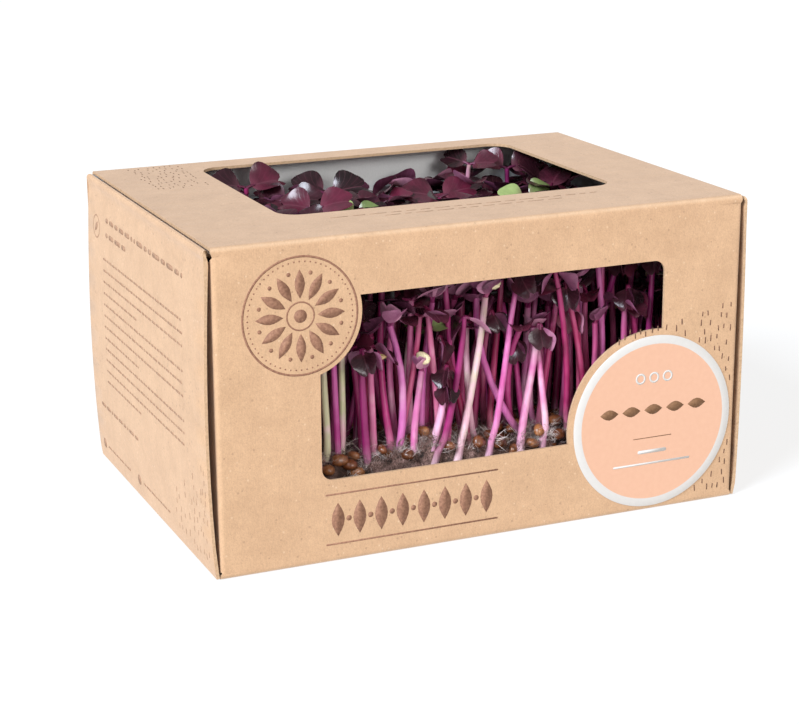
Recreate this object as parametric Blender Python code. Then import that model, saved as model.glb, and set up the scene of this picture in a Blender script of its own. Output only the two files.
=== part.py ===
"""Radish microgreens growing on a seed mat, in a tray inside a windowed card carton.

Metres, +Z up. The origin is the middle of the carton's footprint, on the surface it stands on.
The long front panel with its window and round label faces -Y, and +X is to the right.
"""

import math
import random

import bmesh
import bpy
import numpy as np
from mathutils import Matrix, Vector

MM = 0.001

# Carton, driving sizes in millimetres
WIDTH = 150.0            # sleeve, along X
DEPTH = 108.0            # sleeve, along Y
HEIGHT = 86.0            # sleeve, along Z
BOARD = 0.8              # thickness of the card
GAP = 0.3                # space kept between pieces that touch
FOLD_RADIUS = 0.8        # outer rounding of the sleeve's folds
CLOSE_POINTS = 0.04      # points of a fused body nearer than this are merged

FRONT_WINDOW = (-47.4, 51.5, 22.5, 70.5)     # left, right, bottom, top
FRONT_WINDOW_CORNER = 2.0
TOP_WINDOW = (-46.4, 51.4, -26.2, 44.0)      # left, right, front, back
TOP_WINDOW_CORNER = 6.0
BADGE_TAB = (-52.4, 66.7, 16.5)              # centre x, centre z, radius of the round tab
LABEL_TAB = (49.0, 25.6, 26.0)
LABEL_RADIUS = 24.3
LABEL_THICK = 0.3

DUST_FLAP_REACH = 45.0   # how far each inner flap covers the open end
DUST_FLAP_BOTTOM = 2.0
DUST_FLAP_TOP = 81.0
DUST_FLAP_CUT = 7.0      # how much its free corners are cut back

HINGE_OUT = 0.7          # end panel's crease line, outside the sleeve's end
END_PANEL_DEPTH = 107.0
END_BULGE = 1.7          # how far the end panel bows outwards
TONGUE_REACH = 14.0      # tuck tongue, measured in from the crease line
TONGUE_DROP = 3.4        # how far the tongue's tip lies below the sleeve's top face
TONGUE_TAPER = 7.0       # how much narrower the tongue's tip is at each side than its root
TONGUE_INSET = 2.5       # how much narrower the tongue's root is at each side than the panel
SHOULDER_DROP = 1.1      # how far the panel's top fold lies below the sleeve's top face
SHOULDER_INSET = 1.0

# Seed tray and growing mat
TRAY_TOP = (144.0, 102.0)
TRAY_FLOOR = (136.0, 94.0)
TRAY_HEIGHT = 19.0
TRAY_WALL = 0.9
TRAY_RIM = 2.4
TRAY_CORNER = 9.0
MAT_TOP_Z = 21.8
MAT_BULGE = 0.4          # the wet mat stands this far clear of the tray wall's top
PLUG_RADIUS = 3.0        # root plug of one pair of sprouts
PLUG_DEPTH = 4.0
PLUG_SIDES = 7
SEED_COUNT = 34
SEED_AXES = (2.2, 1.7, 1.4)
SEED_LIFT = 0.35         # height of a seed's middle above the mat
SEED_SPACING = 5.2
SEED_FROM_PLUG = 3.2
SEED_FROM_RIM = 6.0

# Sprouts
ROWS = (-41.0, -21.0, -1.0, 19.5, 40.5)
ROW_COUNTS = (7, 6, 7, 6, 7)
ROW_HALF_WIDTH = 70.0
ROW_JITTER = 2.0
STEM_RADIUS = 1.1
STEM_SIDES = 5
STEM_RINGS = 4
STEM_OVER = 0.45         # how far the stem's top stands above the leaf pair's middle
STEM_TAPER = 0.22
STEM_SPHERES = 24
PAIR_HALF_STEP = 1.55    # how far each stem of a pair stands from their root plug's middle
PLANT_SPACE = 0.5        # least space between two pairs
PAIR_SPACE = 0.3         # least space between the two sprouts of a pair, above their feet
PLACE_TRIES = 400
LEAF_THICK = 0.65
LEAF_STALK_HALF = 0.55
LEAF_CUP = 0.055
LEAF_SPHERES = ((2.2, 0, 1.0), (4.6, 1.8, 1.5), (4.6, -1.8, 1.5), (7.2, 2.4, 1.8), (7.2, -2.4, 1.8))
LEAF_LIMIT = (70.5, 50.0, 80.5)   # how far any plant part may reach in x, y and z
SEED_OF_RULE = 41


def clear_scene():
    for item in list(bpy.data.objects):
        bpy.data.objects.remove(item, do_unlink=True)


def make_material(name, colour, roughness):
    material = bpy.data.materials.new(name)
    material.use_nodes = True
    shader = material.node_tree.nodes["Principled BSDF"]
    shader.inputs["Base Color"].default_value = (*colour, 1.0)
    shader.inputs["Roughness"].default_value = roughness
    shader.inputs["Metallic"].default_value = 0.0
    return material


def add_mesh_object(name, bm, material=None):
    bmesh.ops.recalc_face_normals(bm, faces=bm.faces)
    mesh = bpy.data.meshes.new(name)
    bm.to_mesh(mesh)
    bm.free()
    if material is not None:
        mesh.materials.append(material)
    item = bpy.data.objects.new(name, mesh)
    bpy.context.scene.collection.objects.link(item)
    return item


def hide_helper(item):
    item.hide_render = True
    item.display_type = "WIRE"
    return item


def box_mesh(low, high):
    bm = bmesh.new()
    size = [(b - a) * MM for a, b in zip(low, high)]
    middle = [(a + b) / 2 * MM for a, b in zip(low, high)]
    matrix = Matrix.Translation(middle) @ Matrix.Diagonal((*size, 1.0))
    bmesh.ops.create_cube(bm, size=1.0, matrix=matrix)
    return bm


def rounded_rectangle(left, right, low, high, corner, steps):
    """Points of a rectangle with rounded corners, anticlockwise."""
    centres = ((right - corner, high - corner, 0), (left + corner, high - corner, 90),
               (left + corner, low + corner, 180), (right - corner, low + corner, 270))
    points = []
    for cx, cy, start in centres:
        for step in range(steps + 1):
            angle = math.radians(start + 90 * step / steps)
            points.append((cx + corner * math.cos(angle), cy + corner * math.sin(angle)))
    return points


def bridge(bm, lower, upper):
    count = len(lower)
    for i in range(count):
        j = (i + 1) % count
        bm.faces.new((lower[i], lower[j], upper[j], upper[i]))


def loft(loops):
    """A closed body through loops of 3D points in millimetres, capped at both ends."""
    bm = bmesh.new()
    rings = [[bm.verts.new(Vector(point) * MM) for point in loop] for loop in loops]
    for lower, upper in zip(rings, rings[1:]):
        bridge(bm, lower, upper)
    bm.faces.new(rings[0])
    bm.faces.new(rings[-1])
    return bm


def prism_along_y(points, y_from, y_to):
    return loft([[(x, y, z) for x, z in points] for y in (y_from, y_to)])


def prism_along_z(points, z_from, z_to):
    return loft([[(x, y, z) for x, y in points] for z in (z_from, z_to)])


def circle(cx, cy, radius, count):
    angles = (2 * math.pi * i / count for i in range(count))
    return [(cx + radius * math.cos(a), cy + radius * math.sin(a)) for a in angles]


def add_boolean(item, operation, other=None, collection=None, solver="EXACT"):
    modifier = item.modifiers.new(operation.lower(), "BOOLEAN")
    modifier.operation = operation
    modifier.solver = solver
    if collection is not None:
        modifier.operand_type = "COLLECTION"
        modifier.collection = collection
    else:
        modifier.object = other
    return modifier


def evaluated_copy(item):
    """The item's mesh with its modifiers applied."""
    graph = bpy.context.evaluated_depsgraph_get()
    return bpy.data.meshes.new_from_object(item.evaluated_get(graph))


def merge_near_points(mesh):
    """Take out the slivers that a union leaves, as long as the body stays closed."""
    bm = bmesh.new()
    bm.from_mesh(mesh)
    bmesh.ops.triangulate(bm, faces=bm.faces)
    bmesh.ops.remove_doubles(bm, verts=bm.verts, dist=CLOSE_POINTS * MM)
    if all(edge.is_manifold for edge in bm.edges):
        bm.to_mesh(mesh)
    bm.free()


def fuse(name, bodies, material, solver="EXACT"):
    """Join overlapping closed bodies into one body, and remove the bodies."""
    group = bpy.data.collections.new(name + "_bodies")
    bpy.context.scene.collection.children.link(group)
    first = bodies[0]
    for body in bodies[1:]:
        bpy.context.scene.collection.objects.unlink(body)
        group.objects.link(body)
    add_boolean(first, "UNION", collection=group, solver=solver)
    bpy.context.view_layer.update()
    mesh = evaluated_copy(first)
    merge_near_points(mesh)
    mesh.name = name
    mesh.materials.clear()
    mesh.materials.append(material)
    for body in bodies:
        bpy.data.objects.remove(body, do_unlink=True)
    bpy.data.collections.remove(group)
    item = bpy.data.objects.new(name, mesh)
    bpy.context.scene.collection.objects.link(item)
    return item


# Carton

def build_front_window_cutter():
    """The front window: a rounded rectangle that the two round tabs reach into."""
    front = -DEPTH / 2
    outline = rounded_rectangle(*FRONT_WINDOW, FRONT_WINDOW_CORNER, 3)
    cutter = hide_helper(add_mesh_object("front_window_cutter", prism_along_y(outline, front - 2, front + 2)))
    for name, (cx, cz, radius) in (("badge_tab", BADGE_TAB), ("label_tab", LABEL_TAB)):
        disc = add_mesh_object(name + "_guide", prism_along_y(circle(cx, cz, radius, 56), front - 3, front + 3))
        add_boolean(cutter, "DIFFERENCE", other=hide_helper(disc))
    return cutter


def build_sleeve(material):
    """The card tube with its windows, and the four dust flaps folded in at its ends."""
    bm = box_mesh((-WIDTH / 2, -DEPTH / 2, 0), (WIDTH / 2, DEPTH / 2, HEIGHT))
    folds = [e for e in bm.edges if abs(e.verts[0].co.x - e.verts[1].co.x) > WIDTH / 2 * MM]
    bmesh.ops.bevel(bm, geom=folds, offset=FOLD_RADIUS * MM, segments=2, profile=0.5, affect="EDGES")
    sleeve = add_mesh_object("carton_sleeve", bm, material)

    inner = box_mesh((-WIDTH, -DEPTH / 2 + BOARD, BOARD), (WIDTH, DEPTH / 2 - BOARD, HEIGHT - BOARD))
    add_boolean(sleeve, "DIFFERENCE", other=hide_helper(add_mesh_object("tube_cutter", inner)))
    add_boolean(sleeve, "DIFFERENCE", other=build_front_window_cutter())
    top_outline = rounded_rectangle(*TOP_WINDOW, TOP_WINDOW_CORNER, 5)
    top_cutter = add_mesh_object("top_window_cutter", prism_along_z(top_outline, HEIGHT - 2, HEIGHT + 2))
    add_boolean(sleeve, "DIFFERENCE", other=hide_helper(top_cutter))

    for side_x in (-1, 1):
        for side_y in (-1, 1):
            flap = hide_helper(add_mesh_object("dust_flap_guide", dust_flap_mesh(side_x, side_y)))
            add_boolean(sleeve, "UNION", other=flap)
    return sleeve


def dust_flap_mesh(side_x, side_y):
    """One inner end flap, with its free corners cut back."""
    root = DEPTH / 2 - BOARD / 2
    tip = DEPTH / 2 - DUST_FLAP_REACH
    cut = DUST_FLAP_CUT
    outline = [(root, DUST_FLAP_BOTTOM), (root, DUST_FLAP_TOP), (tip + cut, DUST_FLAP_TOP),
               (tip, DUST_FLAP_TOP - 2 * cut), (tip, DUST_FLAP_BOTTOM + cut), (tip + cut, DUST_FLAP_BOTTOM)]
    outer = WIDTH / 2
    return loft([[(side_x * x, side_y * y, z) for y, z in outline] for x in (outer - BOARD, outer)])


def end_panel_profile():
    """Middle line of the end panel and its tongue, as (distance out from the sleeve, height)."""
    foot = Vector((HINGE_OUT, BOARD / 2))
    points = [foot]
    climb = (0.12, 0.28, 0.46, 0.64, 0.82, 0.93)
    for t in climb:
        points.append(Vector((HINGE_OUT + END_BULGE * math.sin(math.pi * t ** 0.9) ** 0.8, HEIGHT * t)))
    shoulder = HEIGHT - SHOULDER_DROP
    points.append(Vector((HINGE_OUT + 0.75, shoulder - 0.8)))
    points.append(Vector((HINGE_OUT + 0.1, shoulder)))
    points.append(Vector((HINGE_OUT - 1.2, shoulder - 0.45)))
    points.append(Vector((-3.5, HEIGHT - TONGUE_DROP + 0.8)))
    points.append(Vector((-8.5, HEIGHT - TONGUE_DROP + 0.15)))
    points.append(Vector((HINGE_OUT - TONGUE_REACH, HEIGHT - TONGUE_DROP)))
    return points


def build_end_panel(name, side_x, material):
    """One outer end panel on its crease, with the tuck tongue that goes in under the top."""
    line = end_panel_profile()
    half = END_PANEL_DEPTH / 2
    tongue_from = 9
    outside = []
    inside = []
    widths = []
    for i, point in enumerate(line):
        before = line[max(i - 1, 0)]
        after = line[min(i + 1, len(line) - 1)]
        along = (after - before).normalized()
        across = Vector((along.y, -along.x)) * BOARD / 2
        outside.append(point + across)
        inside.append(point - across)
        if i < tongue_from - 1:
            widths.append(half)
        elif i == tongue_from - 1:
            widths.append(half - SHOULDER_INSET)
        else:
            share = (i - tongue_from + 1) / (len(line) - tongue_from)
            widths.append(half - TONGUE_INSET - TONGUE_TAPER * share ** 2)
    bm = bmesh.new()

    def vertex(point, width, sign):
        return bm.verts.new(Vector((side_x * (WIDTH / 2 + point.x), sign * width, point.y)) * MM)

    rings = []
    knuckle = 4
    for sign in (-1, 1):
        loop = [vertex(p, w, sign) for p, w in zip(outside, widths)]
        loop += [vertex(p, w, sign) for p, w in zip(reversed(inside), reversed(widths))]
        for step in range(1, knuckle):
            turn = math.pi * step / knuckle
            edge = Vector((-math.cos(turn), -math.sin(turn))) * BOARD / 2
            loop.append(vertex(line[0] + edge, half, sign))
        rings.append(loop)
    bridge(bm, rings[0], rings[1])
    count = len(line)
    for loop in rings:
        for i in range(count - 1):
            bm.faces.new((loop[i], loop[i + 1], loop[2 * count - 2 - i], loop[2 * count - 1 - i]))
        bm.faces.new([loop[0]] + [loop[2 * count - 1]] + loop[2 * count:])
    return add_mesh_object(name, bm, material)


def build_label(material):
    cx, cz, _ = LABEL_TAB
    face = -DEPTH / 2 - GAP
    disc = prism_along_y(circle(cx, cz, LABEL_RADIUS, 48), face - LABEL_THICK, face)
    return add_mesh_object("round_label", disc, material)


# Tray and mat

def level_loop(size, inset, z):
    half_x = size[0] / 2 - inset
    half_y = size[1] / 2 - inset
    outline = rounded_rectangle(-half_x, half_x, -half_y, half_y, TRAY_CORNER - inset, 3)
    return [(x, y, z) for x, y in outline]


def build_tray(material):
    """A shallow thin-walled tray with a flat rim, open at the top."""
    floor = BOARD + GAP
    top = floor + TRAY_HEIGHT
    mouth = (TRAY_TOP[0] - 2 * TRAY_RIM, TRAY_TOP[1] - 2 * TRAY_RIM)
    loops = [
        level_loop(TRAY_FLOOR, 0, floor),
        level_loop(mouth, 0, top - TRAY_WALL),
        level_loop(TRAY_TOP, 0, top - TRAY_WALL),
        level_loop(TRAY_TOP, 0, top),
        level_loop(mouth, TRAY_WALL, top),
        level_loop(TRAY_FLOOR, TRAY_WALL, floor + TRAY_WALL),
    ]
    return add_mesh_object("seed_tray", loft(loops), material)


def build_mat(plugs, seeds, material):
    """The growing mat that fills the tray, with a hole for each root plug and seeds on top."""
    low = BOARD + GAP + TRAY_WALL + GAP
    rim = BOARD + GAP + TRAY_HEIGHT
    mouth = (TRAY_TOP[0] - 2 * TRAY_RIM, TRAY_TOP[1] - 2 * TRAY_RIM)
    side = TRAY_WALL + GAP
    loops = [
        level_loop(TRAY_FLOOR, side, low),
        level_loop(mouth, side, rim),
        level_loop(mouth, side + MAT_BULGE, MAT_TOP_Z),
    ]
    mat = add_mesh_object("mat_block", loft(loops))
    holes = bpy.data.collections.new("plug_holes")
    bpy.context.scene.collection.children.link(holes)
    for x, y in plugs:
        outline = circle(x, y, PLUG_RADIUS + GAP, 8)
        hole = add_mesh_object("plug_hole", prism_along_z(outline, MAT_TOP_Z - PLUG_DEPTH - GAP, MAT_TOP_Z + 1))
        bpy.context.scene.collection.objects.unlink(hole)
        holes.objects.link(hole)
    add_boolean(mat, "DIFFERENCE", collection=holes)
    bpy.context.view_layer.update()
    drilled = bpy.data.objects.new("mat_drilled", evaluated_copy(mat))
    bpy.context.scene.collection.objects.link(drilled)
    for hole in list(holes.objects):
        bpy.data.objects.remove(hole, do_unlink=True)
    bpy.data.collections.remove(holes)
    bpy.data.objects.remove(mat, do_unlink=True)
    return fuse("growing_mat", [drilled] + [build_seed(*seed) for seed in seeds], material)


def build_seed(x, y, turn, tip):
    """One swollen seed, half sunk in the mat."""
    bm = bmesh.new()
    bmesh.ops.create_icosphere(bm, subdivisions=1, radius=1.0)
    place = Matrix.Translation(Vector((x, y, MAT_TOP_Z + SEED_LIFT)) * MM)
    turned = Matrix.Rotation(turn, 4, "Z") @ Matrix.Rotation(tip, 4, "X")
    scaled = Matrix.Diagonal((*(a * MM for a in SEED_AXES), 1.0))
    bm.transform(place @ turned @ scaled)
    return add_mesh_object("seed", bm)


# Sprouts

def stem_point(sprout, t):
    """A point of the stem's middle line, t running from the mat (0) to the leaf pair (1)."""
    x, y = sprout["foot"]
    lean_x, lean_y = sprout["lean"]
    bow_x, bow_y = sprout["bow"]
    arch = 4 * t * (1 - t)
    z = MAT_TOP_Z - 1.5 + (sprout["height"] + 1.5) * t
    return Vector((x + lean_x * t + bow_x * arch, y + lean_y * t + bow_y * arch, z))


def leaf_frame(sprout, which):
    """Place and turn of one of the two seed leaves, which is 0 or 1."""
    azimuth = sprout["azimuth"] + which * math.pi + sprout["skew"][which]
    top = stem_point(sprout, 1.0)
    place = Matrix.Translation(top)
    turn = Matrix.Rotation(azimuth, 4, "Z") @ Matrix.Rotation(-sprout["rise"][which], 4, "Y")
    roll = Matrix.Rotation(sprout["roll"][which], 4, "X")
    return place @ turn @ roll


def leaf_surface(u, v, droop):
    """A point of the leaf blade: u runs out along the midrib and v across it, in millimetres."""
    return Vector((u, v, LEAF_CUP * v * v - droop * u * u))


def leaf_outline():
    """Half of the notched seed leaf, from its stalk to the notch at its tip."""
    return [(2.6, LEAF_STALK_HALF), (4.1, 3.3), (7.0, 4.4), (9.3, 2.5), (8.1, 0.0)]


def clearance_points(sprout):
    """Spheres that stand for the sprout when places are chosen: rows of x, y, z and radius."""
    rows = [(*stem_point(sprout, i / STEM_SPHERES), STEM_RADIUS) for i in range(STEM_SPHERES + 1)]
    for which in (0, 1):
        frame = leaf_frame(sprout, which)
        size = sprout["size"][which]
        for u, v, radius in LEAF_SPHERES:
            centre = frame @ (leaf_surface(u, v, sprout["droop"]) * size)
            rows.append((*centre, radius * size))
    return np.array(rows)


def draw_sprout(rng, x, y):
    reach = rng.uniform(0.0, 7.5)
    heading = rng.uniform(0, 2 * math.pi)
    return {
        "foot": (x, y),
        "height": rng.uniform(38.0, 55.0),
        "lean": (reach * math.cos(heading), reach * math.sin(heading)),
        "bow": (rng.uniform(-1.6, 1.6), rng.uniform(-1.6, 1.6)),
        "azimuth": rng.uniform(0, 2 * math.pi),
        "skew": (rng.uniform(-0.3, 0.3), rng.uniform(-0.3, 0.3)),
        "rise": (rng.uniform(-0.25, 0.75), rng.uniform(-0.25, 0.75)),
        "roll": (rng.uniform(-0.5, 0.5), rng.uniform(-0.5, 0.5)),
        "size": (rng.uniform(0.85, 1.1), rng.uniform(0.8, 1.05)),
        "droop": rng.uniform(0.0, 0.022),
    }


def inside_limits(rows):
    reach = np.abs(rows[:, :3]) + rows[:, 3:]
    return bool((reach <= np.array(LEAF_LIMIT)).all())


def clear_of(rows, others, space):
    if not len(others):
        return True
    away = np.linalg.norm(rows[:, None, :3] - others[None, :, :3], axis=2)
    return bool((away >= rows[:, None, 3] + others[None, :, 3] + space).all())


def plan_clumps():
    """Choose the pairs of sprouts so that no two pairs meet."""
    rng = random.Random(SEED_OF_RULE)
    clumps = []
    taken = np.zeros((0, 4))
    first_free = STEM_SPHERES // 3
    for row, count in zip(ROWS, ROW_COUNTS):
        for place in range(count):
            middle = (place - (count - 1) / 2) * 2 * ROW_HALF_WIDTH / max(ROW_COUNTS)
            x = middle + rng.uniform(-ROW_JITTER, ROW_JITTER)
            y = row + rng.uniform(-ROW_JITTER, ROW_JITTER)
            for attempt in range(PLACE_TRIES):
                angle = rng.uniform(0, math.pi)
                step = Vector((math.cos(angle), math.sin(angle))) * PAIR_HALF_STEP
                pair = [draw_sprout(rng, x + s * step.x, y + s * step.y) for s in (-1, 1)]
                spheres = [clearance_points(sprout) for sprout in pair]
                both = np.concatenate(spheres)
                if not inside_limits(both) or not clear_of(both, taken, PLANT_SPACE):
                    continue
                if clear_of(spheres[0][first_free:], spheres[1][first_free:], PAIR_SPACE):
                    taken = np.concatenate((taken, both))
                    clumps.append({"centre": (x, y), "pair": pair})
                    break
    return clumps


def stem_body(sprout):
    loops = []
    for ring in range(STEM_RINGS):
        t = ring / (STEM_RINGS - 1)
        radius = STEM_RADIUS * (1.0 - STEM_TAPER * t)
        centre = stem_point(sprout, t) + Vector((0, 0, STEM_OVER * t))
        loops.append([(x, y, centre.z) for x, y in circle(centre.x, centre.y, radius, STEM_SIDES)])
    return add_mesh_object("stem", loft(loops))


def leaf_pair_body(sprout):
    """Both seed leaves as one thin blade that crosses the stem's top, a leaf to each side."""
    half = leaf_outline()
    tip = len(half) - 1
    middle = stem_point(sprout, 1.0)
    azimuth = sprout["azimuth"] + (sprout["skew"][0] + sprout["skew"][1]) / 2
    across = Vector((-math.sin(azimuth), math.cos(azimuth), 0)) * LEAF_STALK_HALF
    bm = bmesh.new()
    sides = []
    for offset in (-LEAF_THICK / 2, LEAF_THICK / 2):
        ring = []
        for which, sign in ((0, 1), (1, -1)):
            frame = leaf_frame(sprout, which)
            size = sprout["size"][which]
            ring.append(bm.verts.new((middle + sign * across + Vector((0, 0, offset))) * MM))
            for u, v in half + [(u, -v) for u, v in reversed(half[:-1])]:
                point = leaf_surface(u, v, sprout["droop"]) * size + Vector((0, 0, offset))
                ring.append(bm.verts.new(frame @ point * MM))
        sides.append(ring)
    bridge(bm, sides[0], sides[1])
    span = len(sides[0]) // 2
    for ring in sides:
        for first, last, end in ((0, span - 1, span), (span, 2 * span - 1, 0)):
            bm.faces.new((ring[first], ring[first + 1], ring[last]))
            bm.faces.new((ring[first], ring[last], ring[end]))
            for i in range(tip - 2):
                left = ring[first + 1 + i]
                left_next = ring[first + 2 + i]
                right = ring[last - i]
                right_next = ring[last - 1 - i]
                bm.faces.new((left, left_next, right))
                bm.faces.new((left_next, right_next, right))
            left, left_lobe, notch, right_lobe, right = ring[first + tip - 1:first + tip + 4]
            bm.faces.new((left, left_lobe, notch))
            bm.faces.new((left, notch, right))
            bm.faces.new((notch, right_lobe, right))
    return add_mesh_object("leaf_pair", bm)


def plug_body(x, y):
    """The root plug: a low knot of roots that both stems grow from, sunk in its hole."""
    levels = ((-PLUG_DEPTH, 0.8), (-1.0, 1.0), (0.5, 0.85), (1.1, 0.45))
    loops = []
    for height, share in levels:
        loops.append([(px, py, MAT_TOP_Z + height) for px, py in circle(x, y, PLUG_RADIUS * share, PLUG_SIDES)])
    return add_mesh_object("plug", loft(loops))


def build_clump(number, clump, material):
    bodies = [plug_body(*clump["centre"])]
    for sprout in clump["pair"]:
        bodies.append(stem_body(sprout))
        bodies.append(leaf_pair_body(sprout))
    return fuse("sprout_pair_%02d" % number, bodies, material, solver="MANIFOLD")


def plan_seeds(plugs):
    rng = random.Random(SEED_OF_RULE + 1)
    seeds = []
    half_x = TRAY_TOP[0] / 2 - TRAY_RIM - SEED_FROM_RIM
    half_y = TRAY_TOP[1] / 2 - TRAY_RIM - SEED_FROM_RIM
    while len(seeds) < SEED_COUNT:
        x = rng.uniform(-half_x, half_x)
        y = rng.uniform(-half_y, half_y)
        near_plug = any(math.hypot(x - px, y - py) < PLUG_RADIUS + SEED_FROM_PLUG for px, py in plugs)
        near_seed = any(math.hypot(x - s[0], y - s[1]) < SEED_SPACING for s in seeds)
        if not near_plug and not near_seed:
            seeds.append((x, y, rng.uniform(0, math.pi), rng.uniform(-0.5, 0.5)))
    return seeds


def main():
    clear_scene()
    kraft = make_material("kraft_card", (0.50, 0.33, 0.20), 0.8)
    paper = make_material("label_paper", (0.95, 0.60, 0.42), 0.6)
    tray_plastic = make_material("tray_plastic", (0.05, 0.05, 0.05), 0.45)
    wet_mat = make_material("wet_mat", (0.12, 0.07, 0.04), 0.9)
    sprout_green = make_material("radish_sprout", (0.25, 0.03, 0.13), 0.5)

    build_sleeve(kraft)
    build_end_panel("left_end_panel", -1, kraft)
    build_end_panel("right_end_panel", 1, kraft)
    build_label(paper)
    build_tray(tray_plastic)
    clumps = plan_clumps()
    plugs = [clump["centre"] for clump in clumps]
    build_mat(plugs, plan_seeds(plugs), wet_mat)
    for number, clump in enumerate(clumps, start=1):
        build_clump(number, clump, sprout_green)


main()
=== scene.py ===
"""Looks of a carton of radish microgreens: folded kraft card, print, label, tray, mat and sprouts.

Lengths are in millimetres and become metres as each mesh is made. Places and sizes of the pieces that
the frame holds come from the frame, and the rule that places the sprouts is the frame's own rule.
"""

import math
import random

import bpy
import numpy as np
from mathutils import Matrix, Vector, noise
from mathutils.geometry import delaunay_2d_cdt


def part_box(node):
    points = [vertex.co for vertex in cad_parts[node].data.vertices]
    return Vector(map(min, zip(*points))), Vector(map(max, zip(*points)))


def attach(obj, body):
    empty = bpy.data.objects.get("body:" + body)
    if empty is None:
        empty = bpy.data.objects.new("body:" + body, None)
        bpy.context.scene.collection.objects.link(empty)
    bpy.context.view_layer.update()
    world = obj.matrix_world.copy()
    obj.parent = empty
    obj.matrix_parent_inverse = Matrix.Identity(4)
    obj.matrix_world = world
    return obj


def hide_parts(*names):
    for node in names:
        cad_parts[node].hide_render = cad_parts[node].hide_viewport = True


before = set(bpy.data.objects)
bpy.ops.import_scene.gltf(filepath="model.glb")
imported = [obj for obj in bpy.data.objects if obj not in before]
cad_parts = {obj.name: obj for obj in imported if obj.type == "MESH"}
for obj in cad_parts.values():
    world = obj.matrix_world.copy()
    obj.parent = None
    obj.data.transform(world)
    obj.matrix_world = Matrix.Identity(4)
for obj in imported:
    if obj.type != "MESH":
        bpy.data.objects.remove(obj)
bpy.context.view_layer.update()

MM = 0.001


def node_box(name):
    low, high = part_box(name)
    return low / MM, high / MM


# Carton, from the frame
HALF_WIDTH, HALF_DEPTH, HEIGHT = node_box("carton_sleeve")[1]
END_HALF_DEPTH = node_box("right_end_panel")[1].y
LABEL_LOW, LABEL_HIGH = node_box("round_label")
TRAY_LOW, TRAY_HIGH = node_box("seed_tray")

# Card and its net
BOARD = 0.8
FOLD_RADIUS = 1.4         # outside of the sleeve's folds
FLAP_RADIUS = 1.1         # outside of the dust flaps' folds
GLUE_FLAP = 14.0
GLUE_TAPER = 9.0
GLUE_GAP = 0.02
NET_STEP = 9.0            # spacing of the net's inner points
PANEL_BOWS = (0.0, -0.2, 0.3, -0.35, 0.4)    # glue flap, bottom, front, top, back; out is plus
FOLD_SHARES = (-1.5, -1.0, -0.6, -0.2, 0.2, 0.6, 1.0, 1.5)    # net lines across a fold, in fold radii

FRONT_WINDOW = (-47.4, 51.5, 22.5, 70.5)     # left, right, bottom, top
FRONT_WINDOW_CORNER = 3.2
TOP_WINDOW = (-46.4, 51.4, -26.2, 44.0)      # left, right, front, back
TOP_WINDOW_CORNER = 6.0
BADGE_TAB = (-52.4, 66.7, 16.5)              # centre x, centre z, radius
LABEL_TAB = (49.0, 25.6, 26.0)
DUST_FLAP = (2.0, 81.0, 45.0, 7.0)           # bottom, top, reach, corner cut
FLAP_HEEL = (4.0, 2.6)                       # the higher corner at a dust flap's fold: width, height

# End panels
HINGE_OUT = 0.7
LEFT_BULGE = (1.7, 0.8)       # how far an end panel stands out, and the power that flattens the curve
RIGHT_BULGE = (1.2, 0.35)
BULGE_STEPS = 24
BULGE_TO = 0.955              # share of the height where the bulge gives way to the fold
CURVE_STEPS = 5
SHOULDER_DROP = 1.0
PANEL_CORNER = 1.4
TONGUE_REACH = 14.0
TONGUE_DROP = 3.4

# Label and print
LABEL_RADIUS = (LABEL_HIGH.x - LABEL_LOW.x) / 2
LABEL_RIM = 2.3
LABEL_THICK = 0.26
LABEL_GLUE = 0.01
PRINT_LIFT = 0.012
PRINT_THICK = 0.02

# Tray and mat
TRAY_FLOOR = (68.0, 47.0)
TRAY_MOUTH = (69.6, 48.6)
TRAY_WALL = 0.9
TRAY_CORNER = 9.0
MAT_HALF = (68.2, 47.2)
MAT_CORNER = 8.0
MAT_FINE_TO = -22.0           # the mat's grid is finer between the front window and this y

# Sprouts: the frame's own rule
MAT_TOP_Z = 21.8
ROWS = (-41.0, -21.0, -1.0, 19.5, 40.5)
ROW_COUNTS = (7, 6, 7, 6, 7)
ROW_HALF_WIDTH = 70.0
ROW_JITTER = 2.0
STEM_RADIUS = 1.1
STEM_SPHERES = 24
PAIR_HALF_STEP = 1.55
PAIR_TRIES = 400
LEAF_SPHERES = ((2.2, 0, 1.0), (4.6, 1.8, 1.5), (4.6, -1.8, 1.5), (7.2, 2.4, 1.8), (7.2, -2.4, 1.8))
LEAF_LIMIT = (70.5, 50.0, 80.5)
PAIR_SPACE = 0.5              # room kept between pairs, and between the two of a pair
TWIN_SPACE = 0.3
SEED_OF_RULE = 41
PLUG_RADIUS = 3.0
SEED_COUNT = 34
SEED_AXES = (2.2, 1.7, 1.4)
SEED_SPACES = (8.4, 3.2, 5.2)    # least distance to the tray's rim, to a root plug and to another seed

# Sprouts: the finer form
ACROSS_VIEW = -0.4        # azimuth that runs across the photograph
LEAF_START = 1.4          # where the blade starts, out from the fork
FOOT_DEPTH = 2.0          # how far the stems run on down into the mat
PETIOLE_HEAD = 0.95       # the share of the stem's height whose colour the leaf stalks take
STEM_HUE_TURN = 0.055     # how far apart the hues of the stems lie, as a share of the colour circle
GREEN_SHARE = 0.02        # share of green leaf pairs among the sprouts behind GREEN_FROM
GREEN_FROM = -10.0
FILL_STEP = (5.4, 5.2)
FILL_JITTER = 2.2
FILL_TRIES = 16
FILL_LIMIT = (67.5, 49.5, 82.0)
FILL_SPACES = (2.25, 2.6, 1.5)   # least distance from stem to stem, leaf to leaf and leaf to stem
HERO_NUDGES = (0.0, 1.2, -1.2, 2.4, -2.4, 3.4, -3.4)
HERO_SPACE = 2.1          # a hero stays where its stem has this much room
DEPTH_FROM = -41.0        # painted shade: stems darken behind this y, fully after DEPTH_REACH; they also grow thinner there
DEPTH_REACH = 31.0
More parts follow.
